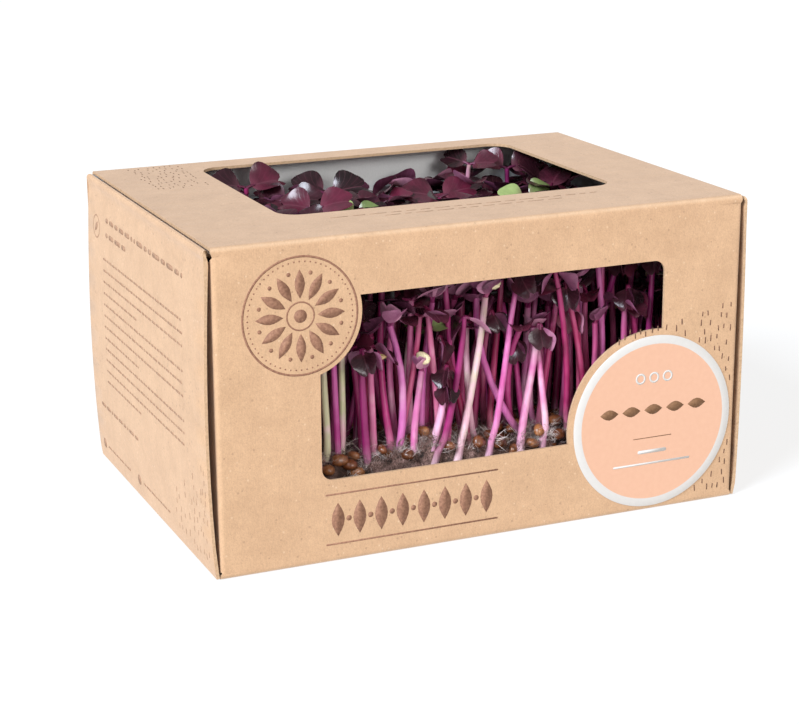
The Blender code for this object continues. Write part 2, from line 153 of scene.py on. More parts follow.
FRONT_ROWS_TO = -26.0     # fillers nearer the front window than this y are shorter
BACK_ROWS_FROM = 8.0
BAND_DEPTH = 12           # depth of the bands that the fillers are gathered in
LEAF_ROWS = np.array([0.0, 0.07, 0.18, 0.32, 0.48, 0.64, 0.79, 0.91, 1.0])
LEAF_COLUMNS = np.array([-1.0, -0.8, -0.52, -0.25, 0.0, 0.25, 0.52, 0.8, 1.0])

# Roots, seeds and hulls
TUFTS = 900
TUFT_HAIRS = 8
TUFT_SPREAD = 1.5
SCATTERED_SEEDS = 500
SEED_TRIES = 4200
SCATTER_SPACES = (2.0, 4.1)   # least distance from a scattered seed to a stem and to another seed
HULL_SHARE = 0.08
HULLS_TO = -14.0          # no hulls behind this y
HULL_SHAPE = (1.15, 0.75, 0.62)

# Stage, light and camera
FLOOR_TONE = 0.22
FLOOR_GLOW = 0.76         # the studio's white floor, lit by itself so that shadows stay faint
FLOOR_REACH = 8.0
WORLD_STRENGTH = 0.45
KEY_FROM = (-0.75, -0.33, 0.575)
KEY_STRENGTH = 4.4
KEY_COLOUR = (0.91, 1.0, 1.12)
KEY_ANGLE = 24.0
FILL_FROM = (0.10, -1.35, 0.62)
FILL_POWER = 8.0
FILL_SIZE = 0.5
CAMERA_PLACE = (-221.22, -507.11, 197.64)
CAMERA_TURN = (-23.335, 16.486, -0.346)      # azimuth, elevation and roll, in degrees
CAMERA_LENS = 91.13


# Materials

FIBRE_TURNS = ((0.4, 0.7, 0.5), (1.3, 0.5, 2.2), (0.6, 2.4, 1.4), (2.2, 1.6, 0.3))
FIBRE_SIZE = (0.0016, 0.00030, 0.00030)
SPECK_REACH = 0.28
WEAR_AND_HIGHLIGHT_WIDTH = 1.1


class Look:
    """A material, with short names for the nodes that make its look."""

    def __init__(self, name, roughness, **shader_values):
        self.material = bpy.data.materials.new(name)
        self.material.use_nodes = True
        self.tree = self.material.node_tree
        self.shader = self.tree.nodes["Principled BSDF"]
        for key, value in {"Roughness": roughness, **shader_values}.items():
            self.connect(value, self.shader.inputs[key.replace("_", " ")])
        self.place = self.stretched((1, 1, 1))

    def connect(self, value, socket):
        """Link an output to a socket, or give the socket a number, a vector or a colour."""
        if isinstance(value, bpy.types.NodeSocket):
            self.tree.links.new(value, socket)
        elif socket.type == "RGBA":
            socket.default_value = (*value, 1.0)
        else:
            socket.default_value = value

    def node(self, kind, inputs, **settings):
        item = self.tree.nodes.new(kind)
        for key, value in settings.items():
            setattr(item, key, value)
        for key, value in inputs.items():
            self.connect(value, item.inputs[key])
        return item

    def stretched(self, stretch):
        """The place on the object, in metres, scaled along each axis."""
        place = self.node("ShaderNodeTexCoord", {}).outputs["Object"]
        return self.node("ShaderNodeMapping", {"Vector": place, "Scale": stretch}).outputs["Vector"]

    def noise(self, scale, detail=4.0, roughness=0.55, distortion=0.0, place=None):
        inputs = {"Vector": self.place if place is None else place, "Scale": scale, "Detail": detail,
                  "Roughness": roughness, "Distortion": distortion}
        return self.node("ShaderNodeTexNoise", inputs).outputs["Fac"]

    def ramp(self, factor, *stops):
        item = self.node("ShaderNodeValToRGB", {"Fac": factor})
        points = item.color_ramp.elements
        while len(points) < len(stops):
            points.new(0.5)
        for point, (position, colour) in zip(points, stops):
            point.position = position
            point.color = (*colour, 1.0) if isinstance(colour, tuple) else (colour, colour, colour, 1.0)
        return item.outputs["Color"]

    def mix(self, factor, first, second, blend="MIX"):
        inputs = {0: factor, 6: first, 7: second}
        return self.node("ShaderNodeMix", inputs, data_type="RGBA", blend_type=blend).outputs[2]

    def maths(self, operation, *values, clamp=False):
        inputs = dict(enumerate(values))
        return self.node("ShaderNodeMath", inputs, operation=operation, use_clamp=clamp).outputs[0]

    def plus(self, first, second):
        return self.maths("ADD", first, second)

    def minus(self, first, second, clamp=False):
        return self.maths("SUBTRACT", first, second, clamp=clamp)

    def times(self, first, second):
        return self.maths("MULTIPLY", first, second)

    def paint(self):
        """Red, green, blue and alpha of the paint attribute."""
        attribute = self.node("ShaderNodeAttribute", {}, attribute_name="paint")
        split = self.node("ShaderNodeSeparateColor", {"Color": attribute.outputs["Color"]})
        return split.outputs[0], split.outputs[1], split.outputs[2], attribute.outputs["Alpha"]

    def fibres(self):
        """Fine wood fibres that lie every way: stretched noises, each turned another way."""
        total = None
        for turn in FIBRE_TURNS:
            inputs = {"Vector": self.place, "Rotation": turn, "Scale": FIBRE_SIZE}
            turned = self.node("ShaderNodeMapping", inputs, vector_type="TEXTURE").outputs["Vector"]
            value = self.noise(1.0, 3.0, distortion=0.5, place=turned)
            total = value if total is None else self.plus(total, value)
        return self.times(total, 1 / len(FIBRE_TURNS))

    def specks(self, scale, share, place):
        """1 on scattered small spots, 0 elsewhere."""
        cells = self.node("ShaderNodeTexVoronoi", {"Vector": place, "Scale": scale})
        chosen = self.node("ShaderNodeSeparateColor", {"Color": cells.outputs["Color"]}).outputs[0]
        near = self.maths("LESS_THAN", cells.outputs["Distance"], SPECK_REACH)
        return self.times(near, self.maths("LESS_THAN", chosen, share))

    def finish(self, colour, height=None, distance=0.0, strength=1.0):
        """Set the colour and, where a height is given, the relief."""
        self.connect(colour, self.shader.inputs["Base Color"])
        if height is not None:
            inputs = {"Height": height, "Distance": distance, "Strength": strength}
            self.connect(self.node("ShaderNodeBump", inputs).outputs["Normal"], self.shader.inputs["Normal"])
        return self.material


def fold_wear_and_highlight(look):
    """1 along the sleeve's four long folds, 0 away from them: the mask for pale fold wear and a painted
    highlight on the folds.
    """
    split = look.node("ShaderNodeSeparateXYZ", {"Vector": look.place})
    side = look.minus(look.maths("ABSOLUTE", split.outputs["Y"]), (HALF_DEPTH - WEAR_AND_HIGHLIGHT_WIDTH) * MM)
    level = look.maths("ABSOLUTE", look.minus(split.outputs["Z"], HEIGHT / 2 * MM))
    level = look.minus(level, (HEIGHT / 2 - WEAR_AND_HIGHLIGHT_WIDTH) * MM)
    return look.maths("MULTIPLY", look.maths("MINIMUM", side, level), 1000.0, clamp=True)


def kraft_material():
    look = Look("kraft_outside", 0.80, Specular_IOR_Level=0.30, Sheen_Weight=0.22, Sheen_Roughness=0.45)
    cloud = look.noise(120.0, 7.0, 0.75)
    fibres = look.fibres()
    base = look.ramp(cloud, (0.3, (0.470, 0.286, 0.162)), (0.7, (0.558, 0.348, 0.202)))
    shade = look.ramp(fibres, (0.38, 0.84), (0.5, 1.0), (0.62, 1.12))
    colour = look.mix(1.0, base, shade, "MULTIPLY")
    dark = look.specks(900.0, 0.05, look.place)
    colour = look.mix(look.times(dark, 0.35), colour, (0.20, 0.11, 0.06))
    pale = look.specks(1100.0, 0.035, look.stretched((1.0, 1.1, 0.9)))
    colour = look.mix(look.times(pale, 0.26), colour, (0.78, 0.60, 0.42))
    # pale along the folds: partly fibre wear, partly a painted highlight on the rounded folds
    worn_and_lit = look.times(fold_wear_and_highlight(look), look.noise(500.0, 3.0))
    colour = look.mix(look.times(worn_and_lit, 0.55), colour, (0.80, 0.62, 0.43))
    waves = look.noise(1.0, 2.0, place=look.stretched((70.0, 230.0, 230.0)))
    height = look.plus(look.plus(fibres, look.times(cloud, 0.5)), look.times(waves, 1.6))
    return look.finish(colour, height, 0.00012, 0.5)


def card_inside_material():
    look = Look("card_inside", 0.75, Specular_IOR_Level=0.3)
    fibres = look.fibres()
    base = look.ramp(look.noise(60.0, 5.0), (0.3, (0.84, 0.84, 0.825)), (0.7, (0.88, 0.88, 0.865)))
    shade = look.ramp(fibres, (0.38, 0.95), (0.62, 1.04))
    return look.finish(look.mix(1.0, base, shade, "MULTIPLY"), fibres, 0.00006, 0.4)


def grained_material(name, roughness, specular, grain, stops, relief=None):
    """A plain skin whose colour, and relief where it has one, follow one fine noise."""
    look = Look(name, roughness, Specular_IOR_Level=specular)
    value = look.noise(*grain)
    colour = look.ramp(value, *stops)
    return look.finish(colour, value, *relief) if relief else look.finish(colour)


def ink_material(name, dark, thin):
    """Printing ink that lets some of the card's fibres through."""
    look = Look(name, 0.7, Specular_IOR_Level=0.25)
    cover = look.plus(look.fibres(), look.noise(1400.0, 2.0))
    return look.finish(look.ramp(look.times(cover, 0.5), (0.40, dark), (0.62, thin)))


def paper_material(name, colour, dim):
    return grained_material(name, 0.42, 0.4, (700.0,), ((0.3, dim), (0.7, colour)), (0.00004, 0.4))


def tray_material():
    look = Look("black_tray_plastic", 0.34)
    grain = look.noise(400.0, 5.0)
    look.connect(look.ramp(grain, (0.3, 0.28), (0.7, 0.45)), look.shader.inputs["Roughness"])
    colour = look.ramp(grain, (0.3, (0.012, 0.012, 0.013)), (0.7, (0.03, 0.03, 0.032)))
    return look.finish(colour, grain, 0.00008, 0.4)


def mat_material():
    """Wet dark fibre with a grey felt of root hairs where the paint says so."""
    look = Look("wet_growing_mat", 0.7)
    rough = look.noise(420.0, 6.0, 0.75)
    strands = look.fibres()
    dark = look.ramp(rough, (0.35, (0.007, 0.003, 0.002)), (0.65, (0.090, 0.036, 0.018)))
    pale = look.ramp(strands, (0.42, (0.050, 0.018, 0.013)), (0.57, (0.47, 0.290, 0.250)))
    share = look.times(look.paint()[0], look.ramp(rough, (0.40, 0.05), (0.60, 1.0)))
    return look.finish(look.mix(share, dark, pale), look.plus(rough, strands), 0.0006, 0.9)


def coat_material(name, roughness, wrinkles, distortion, tones, shades, **shader_values):
    """A wrinkled seed coat whose tone comes from the paint."""
    look = Look(name, roughness, **shader_values)
    wrinkle = look.noise(wrinkles, distortion=distortion)
    body = look.ramp(look.paint()[0], *zip((0.0, 0.6, 1.0), tones))
    shade = look.ramp(wrinkle, *zip((0.3, 0.7), shades))
    return look.finish(look.mix(1.0, body, shade, "MULTIPLY"), wrinkle, 0.0002, 0.7)


def stem_material():
    """Juicy stem: tone from the paint's first channel, painted shade from its third, hue by its alpha, foot
    pale.
    """
    look = Look("stem_skin", 0.36, Specular_IOR_Level=0.38, Coat_Weight=0.12, Coat_Roughness=0.25)
    tone, along, depth, hue = look.paint()
    streak = look.noise(1.0, 3.0, place=look.stretched((2400.0, 2400.0, 90.0)))
    mixed = look.plus(tone, look.times(look.minus(look.noise(110.0, 3.0), 0.5), 0.5))
    skin = look.ramp(mixed, (0.0, (0.060, 0.002, 0.016)), (0.28, (0.225, 0.008, 0.078)),
                     (0.52, (0.400, 0.034, 0.165)), (0.76, (0.590, 0.155, 0.345)),
                     (0.92, (0.740, 0.450, 0.520)), (1.0, (0.520, 0.460, 0.290)))
    turned = look.plus(0.5 - STEM_HUE_TURN / 2, look.times(hue, STEM_HUE_TURN))
    skin = look.node("ShaderNodeHueSaturation", {"Hue": turned, "Color": skin}).outputs["Color"]
    foot = look.ramp(along, (0.02, 0.62), (0.08, 0.26), (0.24, 0.0))
    skin = look.mix(foot, skin, (0.70, 0.55, 0.54))
    head = look.ramp(along, (0.62, 0.0), (0.97, 0.55))
    skin = look.mix(head, skin, (0.200, 0.020, 0.080))
    skin = look.mix(1.0, skin, look.ramp(streak, (0.3, 0.82), (0.7, 1.14)), "MULTIPLY")
    # painted shade: the paint's third channel darkens the skin towards near black, for stems further back
    # and for leaf stalks
    skin = look.mix(look.times(depth, 0.88), skin, (0.026, 0.001, 0.007))
    return look.finish(skin, streak, 0.00008, 0.5)


def leaf_veins(look, along, across):
    """Midrib and side veins: 1 on a vein, 0 between them."""
    off = look.maths("ABSOLUTE", look.minus(across, 0.5))
    rib = look.minus(1.0, look.times(off, 26.0), clamp=True)
    slant = look.minus(look.times(along, 5.0), look.times(off, 6.0))
    wave = look.maths("ABSOLUTE", look.minus(look.maths("FRACT", slant), 0.5))
    side = look.minus(1.0, look.times(wave, 9.0), clamp=True)
    return look.maths("MAXIMUM", rib, look.times(side, 0.35))


def leaf_material(name, roughness, purples, greens, rib):
    """Leaf skin: purple tones from the paint's first channel, green where its alpha says so."""
    look = Look(name, roughness, Specular_IOR_Level=0.26, Coat_Weight=0.14, Coat_Roughness=0.16)
    tone, along, across, kind = look.paint()
    mixed = look.plus(tone, look.times(look.minus(look.noise(260.0, 5.0, 0.65), 0.5), 0.8))
    purple = look.ramp(mixed, *zip((0.0, 0.5, 1.0), purples))
    green = look.ramp(mixed, *zip((0.0, 1.0), greens))
    veins = leaf_veins(look, along, across)
    skin = look.mix(look.times(veins, 0.4), look.mix(kind, purple, green), rib)
    skin = look.mix(look.ramp(along, (0.0, 0.5), (0.3, 0.0)), skin, rib)
    height = look.minus(look.times(look.noise(2600.0, 2.0), 0.3), veins)
    return look.finish(skin, height, 0.00012, 0.28)


# Meshes

def new_object(name, data):
    item = bpy.data.objects.new(name, data)
    bpy.context.scene.collection.objects.link(item)
    return item


class Pile:
    """Bodies of one mesh, gathered one after another, in millimetres."""

    def __init__(self):
        self.verts = []
        self.faces = []
        self.slots = []
        self.paint = []
        self.count = 0

    def add(self, verts, faces, slot=0, paint=(0, 0, 0, 0)):
        verts = np.asarray(verts, float)
        self.verts.append(verts)
        self.faces.extend(tuple(i + self.count for i in face) for face in faces)
        self.slots.extend([slot] * len(faces) if isinstance(slot, int) else slot)
        self.paint.append(np.broadcast_to(np.asarray(paint, float), (len(verts), 4)))
        self.count += len(verts)

    def build(self, name, materials, slot, body="carton", sharp=None):
        mesh = bpy.data.meshes.new(name)
        mesh.from_pydata((np.concatenate(self.verts) * MM).tolist(), [], self.faces)
        for material in materials:
            mesh.materials.append(material)
        mesh.polygons.foreach_set("material_index", self.slots)
        paint = mesh.color_attributes.new("paint", "FLOAT_COLOR", "POINT")
        paint.data.foreach_set("color", np.concatenate(self.paint).astype(np.float32).ravel())
        mesh.shade_smooth()
        if sharp is not None:
            mesh.set_sharp_from_angle(angle=math.radians(sharp))
        item = new_object(name, mesh)
        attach(item, body)
        return item


def ring_faces(count, levels, closed=False):
    """Quads between rings of count points that lie one after another, closed from the last to the first."""
    faces = []
    for level in range(levels if closed else levels - 1):
        low, high = level * count, (level + 1) % levels * count
        for i in range(count):
            j = (i + 1) % count
            faces.append((low + i, low + j, high + j, high + i))
    return faces


def capped_faces(count, levels):
    """Rings joined to a closed body, whose ends draw in to the two points that follow the rings."""
    tip = count * levels
    faces = ring_faces(count, levels)
    faces += [((i + 1) % count, i, tip) for i in range(count)]
    return faces + [(tip - count + i, tip - count + (i + 1) % count, tip + 1) for i in range(count)]


def tube(points, radii, sides):
    """A closed round tube through points, its ends drawn in to a point at the middle of each cap."""
    points = np.asarray(points, float)
    along = np.gradient(points, axis=0)
    along /= np.linalg.norm(along, axis=1)[:, None]
    first = np.cross(along[0], (0.31, 0.95, 0.05))
    first /= np.linalg.norm(first)
    angles = np.arange(sides) * 2 * math.pi / sides
    rings = []
    for point, heading, radius in zip(points, along, radii):
        first = first - heading * (first @ heading)
        first /= np.linalg.norm(first)
        second = np.cross(heading, first)
        ring = np.cos(angles)[:, None] * first + np.sin(angles)[:, None] * second
        rings.append(point + ring * radius)
    return np.concatenate(rings + [points[:1], points[-1:]]), capped_faces(sides, len(points))


def paint_rows(*channels):
    """Paint for every vertex, from channels that are each one number or a row of them."""
    return np.column_stack(np.broadcast_arrays(*channels))


def bezier(p0, p1, p2, p3, count):
    t = np.linspace(0, 1, count)[:, None]
    return (1 - t) ** 3 * p0 + 3 * t * (1 - t) ** 2 * p1 + 3 * t * t * (1 - t) * p2 + t ** 3 * p3


def around(cx, cy, radius, angle):
    return cx + radius * math.cos(angle), cy + radius * math.sin(angle)


def rounded_rectangle(left, right, low, high, corner, steps):
    centres = ((right - corner, high - corner, 0), (left + corner, high - corner, 90),
               (left + corner, low + corner, 180), (right - corner, low + corner, 270))
    points = []
    for cx, cy, start in centres:
        for step in range(steps + 1):
            points.append(around(cx, cy, corner, math.radians(start + 90 * step / steps)))
    return points


def circle(cx, cy, radius, count):
    return [around(cx, cy, radius, 2 * math.pi * i / count) for i in range(count)]


# Folded card

class Girth:
    """A chain of flat panels with a rounded right-angled fold between each two.

    corners are the sharp outside corners as y and z, and a place along the chain is measured
    along that sharp outline from the corner numbered start.
    """

    def __init__(self, corners, start, radius):
        self.corners = np.array(corners, float)
        steps = np.diff(self.corners, axis=0)
        lengths = np.linalg.norm(steps, axis=1)
        self.along = steps / lengths[:, None]
        self.out = np.stack((-self.along[:, 1], self.along[:, 0]), axis=1)
        knots = np.concatenate(([0.0], np.cumsum(lengths)))
        self.knots = knots - knots[start]
        self.radius = radius

    def place(self, s, depth):
        panel = np.clip(np.searchsorted(self.knots, s, side="right") - 1, 0, len(self.along) - 1)
        step = s - self.knots[panel]
        normal = self.out[panel].copy()
        point = self.corners[panel] + self.along[panel] * step[:, None] - normal * depth[:, None]
        for k in range(1, len(self.along)):
            near = np.abs(s - self.knots[k]) < self.radius
            turn = (s[near] - self.knots[k] + self.radius) / (2 * self.radius) * math.pi / 2
            first, second = self.out[k - 1], self.out[k]
            away = np.cos(turn)[:, None] * first + np.sin(turn)[:, None] * second
            centre = self.corners[k] - self.radius * (first + second)
            normal[near] = away
            point[near] = centre + away * (self.radius - depth[near])[:, None]
        share = step / (self.knots[panel + 1] - self.knots[panel])
        return point, normal, panel, share


GLUE_Y = HALF_DEPTH - BOARD - GLUE_GAP
GIRTH = Girth([(GLUE_Y, GLUE_FLAP), (GLUE_Y, 0), (-HALF_DEPTH, 0), (-HALF_DEPTH, HEIGHT),
               (HALF_DEPTH, HEIGHT), (HALF_DEPTH, 0)], 2, FOLD_RADIUS)
NET_START, GLUE_FOLD, _, TOP_FOLD, BACK_FOLD, NET_END = GIRTH.knots
FLAP_TOP = DUST_FLAP[1] + FLAP_HEEL[1]
FLAP_SPANS = ((DUST_FLAP[0], FLAP_TOP), (NET_END - FLAP_TOP, NET_END - DUST_FLAP[0]))


def sleeve_surface(flat, depth=0.0):
    """Places on the sleeve's net, as x and distance round the girth, taken to points in space."""
    flat = np.asarray(flat, float)
    x, s = flat[:, 0], flat[:, 1]
    depth = np.full(len(x), float(depth))
    point, normal, panel, share = GIRTH.place(s, depth)
    inside = np.clip(np.abs(x) / HALF_WIDTH, 0, 1)
    bow = np.array(PANEL_BOWS)[panel] * np.sin(math.pi * share) * np.cos(math.pi / 2 * inside)
    point = point + normal * bow[:, None]
    space = np.column_stack((x, point))
    out = np.column_stack((np.zeros_like(x), normal))
    past = np.abs(x) - HALF_WIDTH
    side = np.sign(x)
    edge = np.zeros_like(x)
    for low, high in FLAP_SPANS:
        edge = np.maximum(edge, np.clip(np.minimum(s - low + 1, high - s + 1), 0, 1))
    turning = (past > -FLAP_RADIUS) & (edge > 0)
    across = np.column_stack((side, np.zeros_like(x), np.zeros_like(x)))
    root = space + out * depth[:, None]
    root[:, 0] = side * HALF_WIDTH
    turn = np.clip((past + FLAP_RADIUS) / (2 * FLAP_RADIUS), 0, 1)[:, None] * math.pi / 2
    centre = root - FLAP_RADIUS * (out + across)
    bent = centre + (FLAP_RADIUS - depth)[:, None] * (np.cos(turn) * out + np.sin(turn) * across)
    bent = bent - out * np.maximum(past - FLAP_RADIUS, 0)[:, None]
    weight = (turning * edge)[:, None]
    return space * (1 - weight) + bent * weight


def split_line(points, closed):
    """The line's points, with more put in so that none are further apart than the net's step."""
    points = [Vector(p) for p in points]
    ends = points[1:] + points[:1] if closed else points[1:]
    dense = []
    for a, b in zip(points, ends):
        pieces = max(1, math.ceil((b - a).length / NET_STEP))
        dense.extend(a.lerp(b, i / pieces) for i in range(pieces))
    if not closed:
        dense.append(points[-1])
    return dense


def card_sheet(name, lines, is_card, surface, limits, body, inner_card):
    """A sheet of card cut from a flat net and folded: outside, inside and cut edges."""
    verts, edges = [], []
    for points, closed in lines:
        dense = split_line(points, closed)
        first = len(verts)
        verts.extend(dense)
        edges.extend((first + i, first + i + 1) for i in range(len(dense) - 1))
        if closed:
            edges.append((len(verts) - 1, first))
    marks = np.array([tuple(v) for v in verts])
    (left, right), (low, high) = limits
    for x in np.arange(left + NET_STEP / 2, right, NET_STEP):
        for y in np.arange(low + NET_STEP / 2, high, NET_STEP):
            if np.abs(marks - (x, y)).max(axis=1).min() > 0.35 * NET_STEP:
                verts.append(Vector((x, y)))
    found, _, triangles, *_ = delaunay_2d_cdt(verts, edges, [], 0, 1e-6, False)
    flat = np.array([tuple(v) for v in found])
    triangles = np.array(triangles)
    kept = triangles[is_card(flat[triangles].mean(axis=1))]
    used, packed = np.unique(kept, return_inverse=True)
    kept = packed.reshape(-1, 3)
    flat = flat[used]
    count = len(flat)
    faces = [tuple(t) for t in kept.tolist()]
    slots = [0] * len(faces)
    inner = [(c + count, b + count, a + count) for a, b, c in faces]
    directed = {(t[i], t[(i + 1) % 3]) for t in faces for i in range(3)}
    rim = [(b, a, a + count, b + count) for a, b in sorted(directed) if (b, a) not in directed]
    slots += [1] * len(inner) + [2] * len(rim)
    pile = Pile()
    pile.add(np.concatenate((surface(flat, 0.0), surface(flat, BOARD))), faces + inner + rim, slots)
    return pile.build(name, (KRAFT, inner_card, CUT_EDGE), "kraft_card", body, sharp=38)


def inside_rounded(x, y, box, corner):
    left, right, low, high = box
    dx = np.maximum(np.maximum(left + corner - x, x - (right - corner)), 0)
    dy = np.maximum(np.maximum(low + corner - y, y - (high - corner)), 0)
    return np.hypot(dx, dy) < corner


def window_on_girth(box):
    """The top window, its y turned to distance round the girth."""
    left, right, front, back = box
    return left, right, TOP_FOLD + HALF_DEPTH + front, TOP_FOLD + HALF_DEPTH + back


def flap_outline(side, low, high, flip):
    """One dust flap on the net. flip is for the back panel, where the girth runs downwards."""
    _, _, reach, cut = DUST_FLAP
    tip = HALF_WIDTH + reach
    near, far = (high, low) if flip else (low, high)
    upwards = -1 if flip else 1
    heel_width, heel_height = FLAP_HEEL
    top = far - upwards * heel_height
    points = [(HALF_WIDTH, near), (tip - cut, near), (tip, near + upwards * cut),
              (tip, top - upwards * 2 * cut), (tip - cut, top), (HALF_WIDTH + heel_width, top),
              (HALF_WIDTH, far)]
    return [(side * x, s) for x, s in points]


def inside_polygon(x, y, outline):
    inside = np.zeros(len(x), bool)
    for (x1, y1), (x2, y2) in zip(outline, outline[1:] + outline[:1]):
        crosses = (y1 > y) != (y2 > y)
        rise = y2 - y1 if y2 != y1 else 1.0
        inside ^= crosses & (x < (x2 - x1) * (y - y1) / rise + x1)
    return inside


def build_sleeve():
    flaps = []
    for side in (-1, 1):
        for flip, (low, high) in enumerate(FLAP_SPANS):
            flaps.append(flap_outline(side, low, high, bool(flip)))
    glue = [(-HALF_WIDTH, GLUE_FOLD), (-HALF_WIDTH + GLUE_TAPER, NET_START),
            (HALF_WIDTH - GLUE_TAPER, NET_START), (HALF_WIDTH, GLUE_FOLD)]
    top_window = window_on_girth(TOP_WINDOW)
    lines = [(rounded_rectangle(*FRONT_WINDOW, FRONT_WINDOW_CORNER, 8), True),
             (rounded_rectangle(*top_window, TOP_WINDOW_CORNER, 14), True),
             (circle(*BADGE_TAB, 96), True), (circle(*LABEL_TAB, 128), True),
             (glue, True),
             ([(-HALF_WIDTH, GLUE_FOLD), (-HALF_WIDTH, NET_END)], False),
             ([(HALF_WIDTH, GLUE_FOLD), (HALF_WIDTH, NET_END)], False),
             ([(-HALF_WIDTH, NET_END), (HALF_WIDTH, NET_END)], False)]
    lines += [(flap, True) for flap in flaps]
    for fold in (GLUE_FOLD, 0.0, TOP_FOLD, BACK_FOLD):
        for share in FOLD_SHARES:
            s = fold + share * FOLD_RADIUS
            half = HALF_WIDTH if s >= GLUE_FOLD else HALF_WIDTH - (GLUE_FOLD - s) * GLUE_TAPER / GLUE_FLAP
            lines.append(([(-half, s), (half, s)], False))
    for side in (-1, 1):
        for low, high in FLAP_SPANS:
            for share in FOLD_SHARES:
                x = side * (HALF_WIDTH + share * FLAP_RADIUS)
                lines.append(([(x, low), (x, high)], False))

    def is_card(flat):
        x, s = flat.T
        card = (np.abs(x) < HALF_WIDTH) & (s > GLUE_FOLD) & (s < NET_END)
        for outline in flaps + [glue]:
            card |= inside_polygon(x, s, outline)
        opening = inside_rounded(x, s, FRONT_WINDOW, FRONT_WINDOW_CORNER)
        for cx, cz, radius in (BADGE_TAB, LABEL_TAB):
            opening &= np.hypot(x - cx, s - cz) > radius
        opening |= inside_rounded(x, s, top_window, TOP_WINDOW_CORNER)
        return card & ~opening

    reach = HALF_WIDTH + DUST_FLAP[2]
    limits = ((-reach, reach), (NET_START, NET_END))
    sleeve = card_sheet("folded_sleeve", lines, is_card, sleeve_surface, limits, "carton", CARD_INSIDE)
    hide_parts("carton_sleeve")


# End panels

def end_profile(bulge, power):
    """Middle line of an end panel and its tongue, as distance out from the sleeve and height."""
    points = [(HINGE_OUT, BOARD / 2)]
    for step in range(1, BULGE_STEPS + 1):
        t = BULGE_TO * step / BULGE_STEPS
        points.append((HINGE_OUT + bulge * math.sin(math.pi * t ** 0.9) ** power, HEIGHT * t))
    shoulder = HEIGHT - SHOULDER_DROP
    tongue = HEIGHT - TONGUE_DROP
    points += [(HINGE_OUT + 0.78, shoulder - 0.85), (HINGE_OUT + 0.42, shoulder),
               (HINGE_OUT - 0.25, shoulder - 0.45), (HINGE_OUT - 1.0, shoulder - 1.5),
               (-3.5, tongue + 0.2), (-8.5, tongue + 0.1), (HINGE_OUT - TONGUE_REACH, tongue)]
    return np.array(points)


def smooth_line(points):
    """A Catmull-Rom curve through the points."""
    ends = np.concatenate((2 * points[:1] - points[1:2], points, 2 * points[-1:] - points[-2:-1]))
    curve = []
    for a, b, c, d in zip(ends, ends[1:], ends[2:], ends[3:]):
        for step in range(CURVE_STEPS):
            t = step / CURVE_STEPS
            curve.append(0.5 * (2 * b + (c - a) * t + (2 * a - 5 * b + 4 * c - d) * t * t
                                + (3 * b - a - 3 * c + d) * t ** 3))
    curve.append(points[-1])
    return np.array(curve)


class Strip:
    """The curved surface of an end panel: a place is the distance across and the distance up the card."""

    def __init__(self, side):
        self.side = side
        self.line = smooth_line(end_profile(*(LEFT_BULGE if side < 0 else RIGHT_BULGE)))
        steps = np.linalg.norm(np.diff(self.line, axis=0), axis=1)
        self.along = np.concatenate(([0.0], np.cumsum(steps)))
        tangent = np.gradient(self.line, axis=0)
        tangent /= np.linalg.norm(tangent, axis=1)[:, None]
        self.out = np.column_stack((tangent[:, 1], -tangent[:, 0]))
        self.length = self.along[-1]
        self.shoulder = self.along[int(np.argmax(self.line[:, 1]))]

    def surface(self, flat, depth=0.0):
        flat = np.asarray(flat, float)
        across, up = flat[:, 0], flat[:, 1]
        point = np.column_stack([np.interp(up, self.along, self.line[:, i]) for i in (0, 1)])
        out = np.column_stack([np.interp(up, self.along, self.out[:, i]) for i in (0, 1)])
        point = point + out * (BOARD / 2 - depth)
        return np.column_stack((self.side * (HALF_WIDTH + point[:, 0]), self.side * across, point[:, 1]))


def build_end_panel(side, name, body):
    strip = Strip(side)
    half, top, reach = END_HALF_DEPTH, strip.shoulder, strip.length
    outline = [(half, 0.0), (half, top - PANEL_CORNER)]
    outline += [(half - PANEL_CORNER * (1 - math.cos(a)), top - PANEL_CORNER * (1 - math.sin(a)))
                for a in np.linspace(0.3, math.pi / 2, 6)]
    outline += [(half - 1.9, top + 0.4), (half - 2.8, top + 1.8), (half - 5.0, top + 4.5),
                (half - 6.6, top + 8.0), (half - 9.6, reach - 2.2), (half - 13.5, reach)]
    widths, rises = zip(*outline)
    outline += [(-x, s) for x, s in reversed(outline)]
    lines = [(outline, True)]
    for s in strip.along[1:-1:2]:
        width = np.interp(s, rises, widths) - 0.02
        lines.append(([(-width, s), (width, s)], False))

    def is_card(flat):
        return inside_polygon(*flat.T, outline)

    limits = ((-half, half), (0.0, reach))
    panel = card_sheet(name, lines, is_card, strip.surface, limits, body, KRAFT)
    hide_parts(body + "_panel")
    return strip


# Print

def add_patch(pile, outline, surface=sleeve_surface, lift=PRINT_LIFT, slot=0):
    """A thin closed patch of print on a surface, from its convex or simple outline."""
    count = len(outline)
    verts = np.concatenate((surface(outline, -lift), surface(outline, -lift - PRINT_THICK)))
    faces = [tuple(reversed(range(count))), tuple(range(count, 2 * count))]
    pile.add(verts, faces + ring_faces(count, 2), slot)


def add_ring(pile, cx, cy, inner, outer, surface, count=96, lift=PRINT_LIFT, slot=0):
    """A thin closed ring of print."""
    top = lift + PRINT_THICK
    loops = [surface(circle(cx, cy, radius, count), -height)
             for height, radius in ((lift, inner), (lift, outer), (top, outer), (top, inner))]
    faces = [tuple(reversed(face)) for face in ring_faces(count, 4, closed=True)]
    pile.add(np.concatenate(loops), faces, slot)


def turned_outline(points, cx, cy, turn):
    c, s = math.cos(turn), math.sin(turn)
    return [(cx + x * c - y * s, cy + x * s + y * c) for x, y in points]


def bar(cx, cy, length, width, turn=0.0):
    """Outline of a bar with rounded ends."""
    half = max(length / 2 - width / 2, 0.0)
    points = []
    for side, start in ((1, -math.pi / 2), (-1, math.pi / 2)):
        for step in range(5):
            points.append(around(side * half, 0.0, width / 2, start + math.pi * step / 4))
    return turned_outline(points, cx, cy, turn)


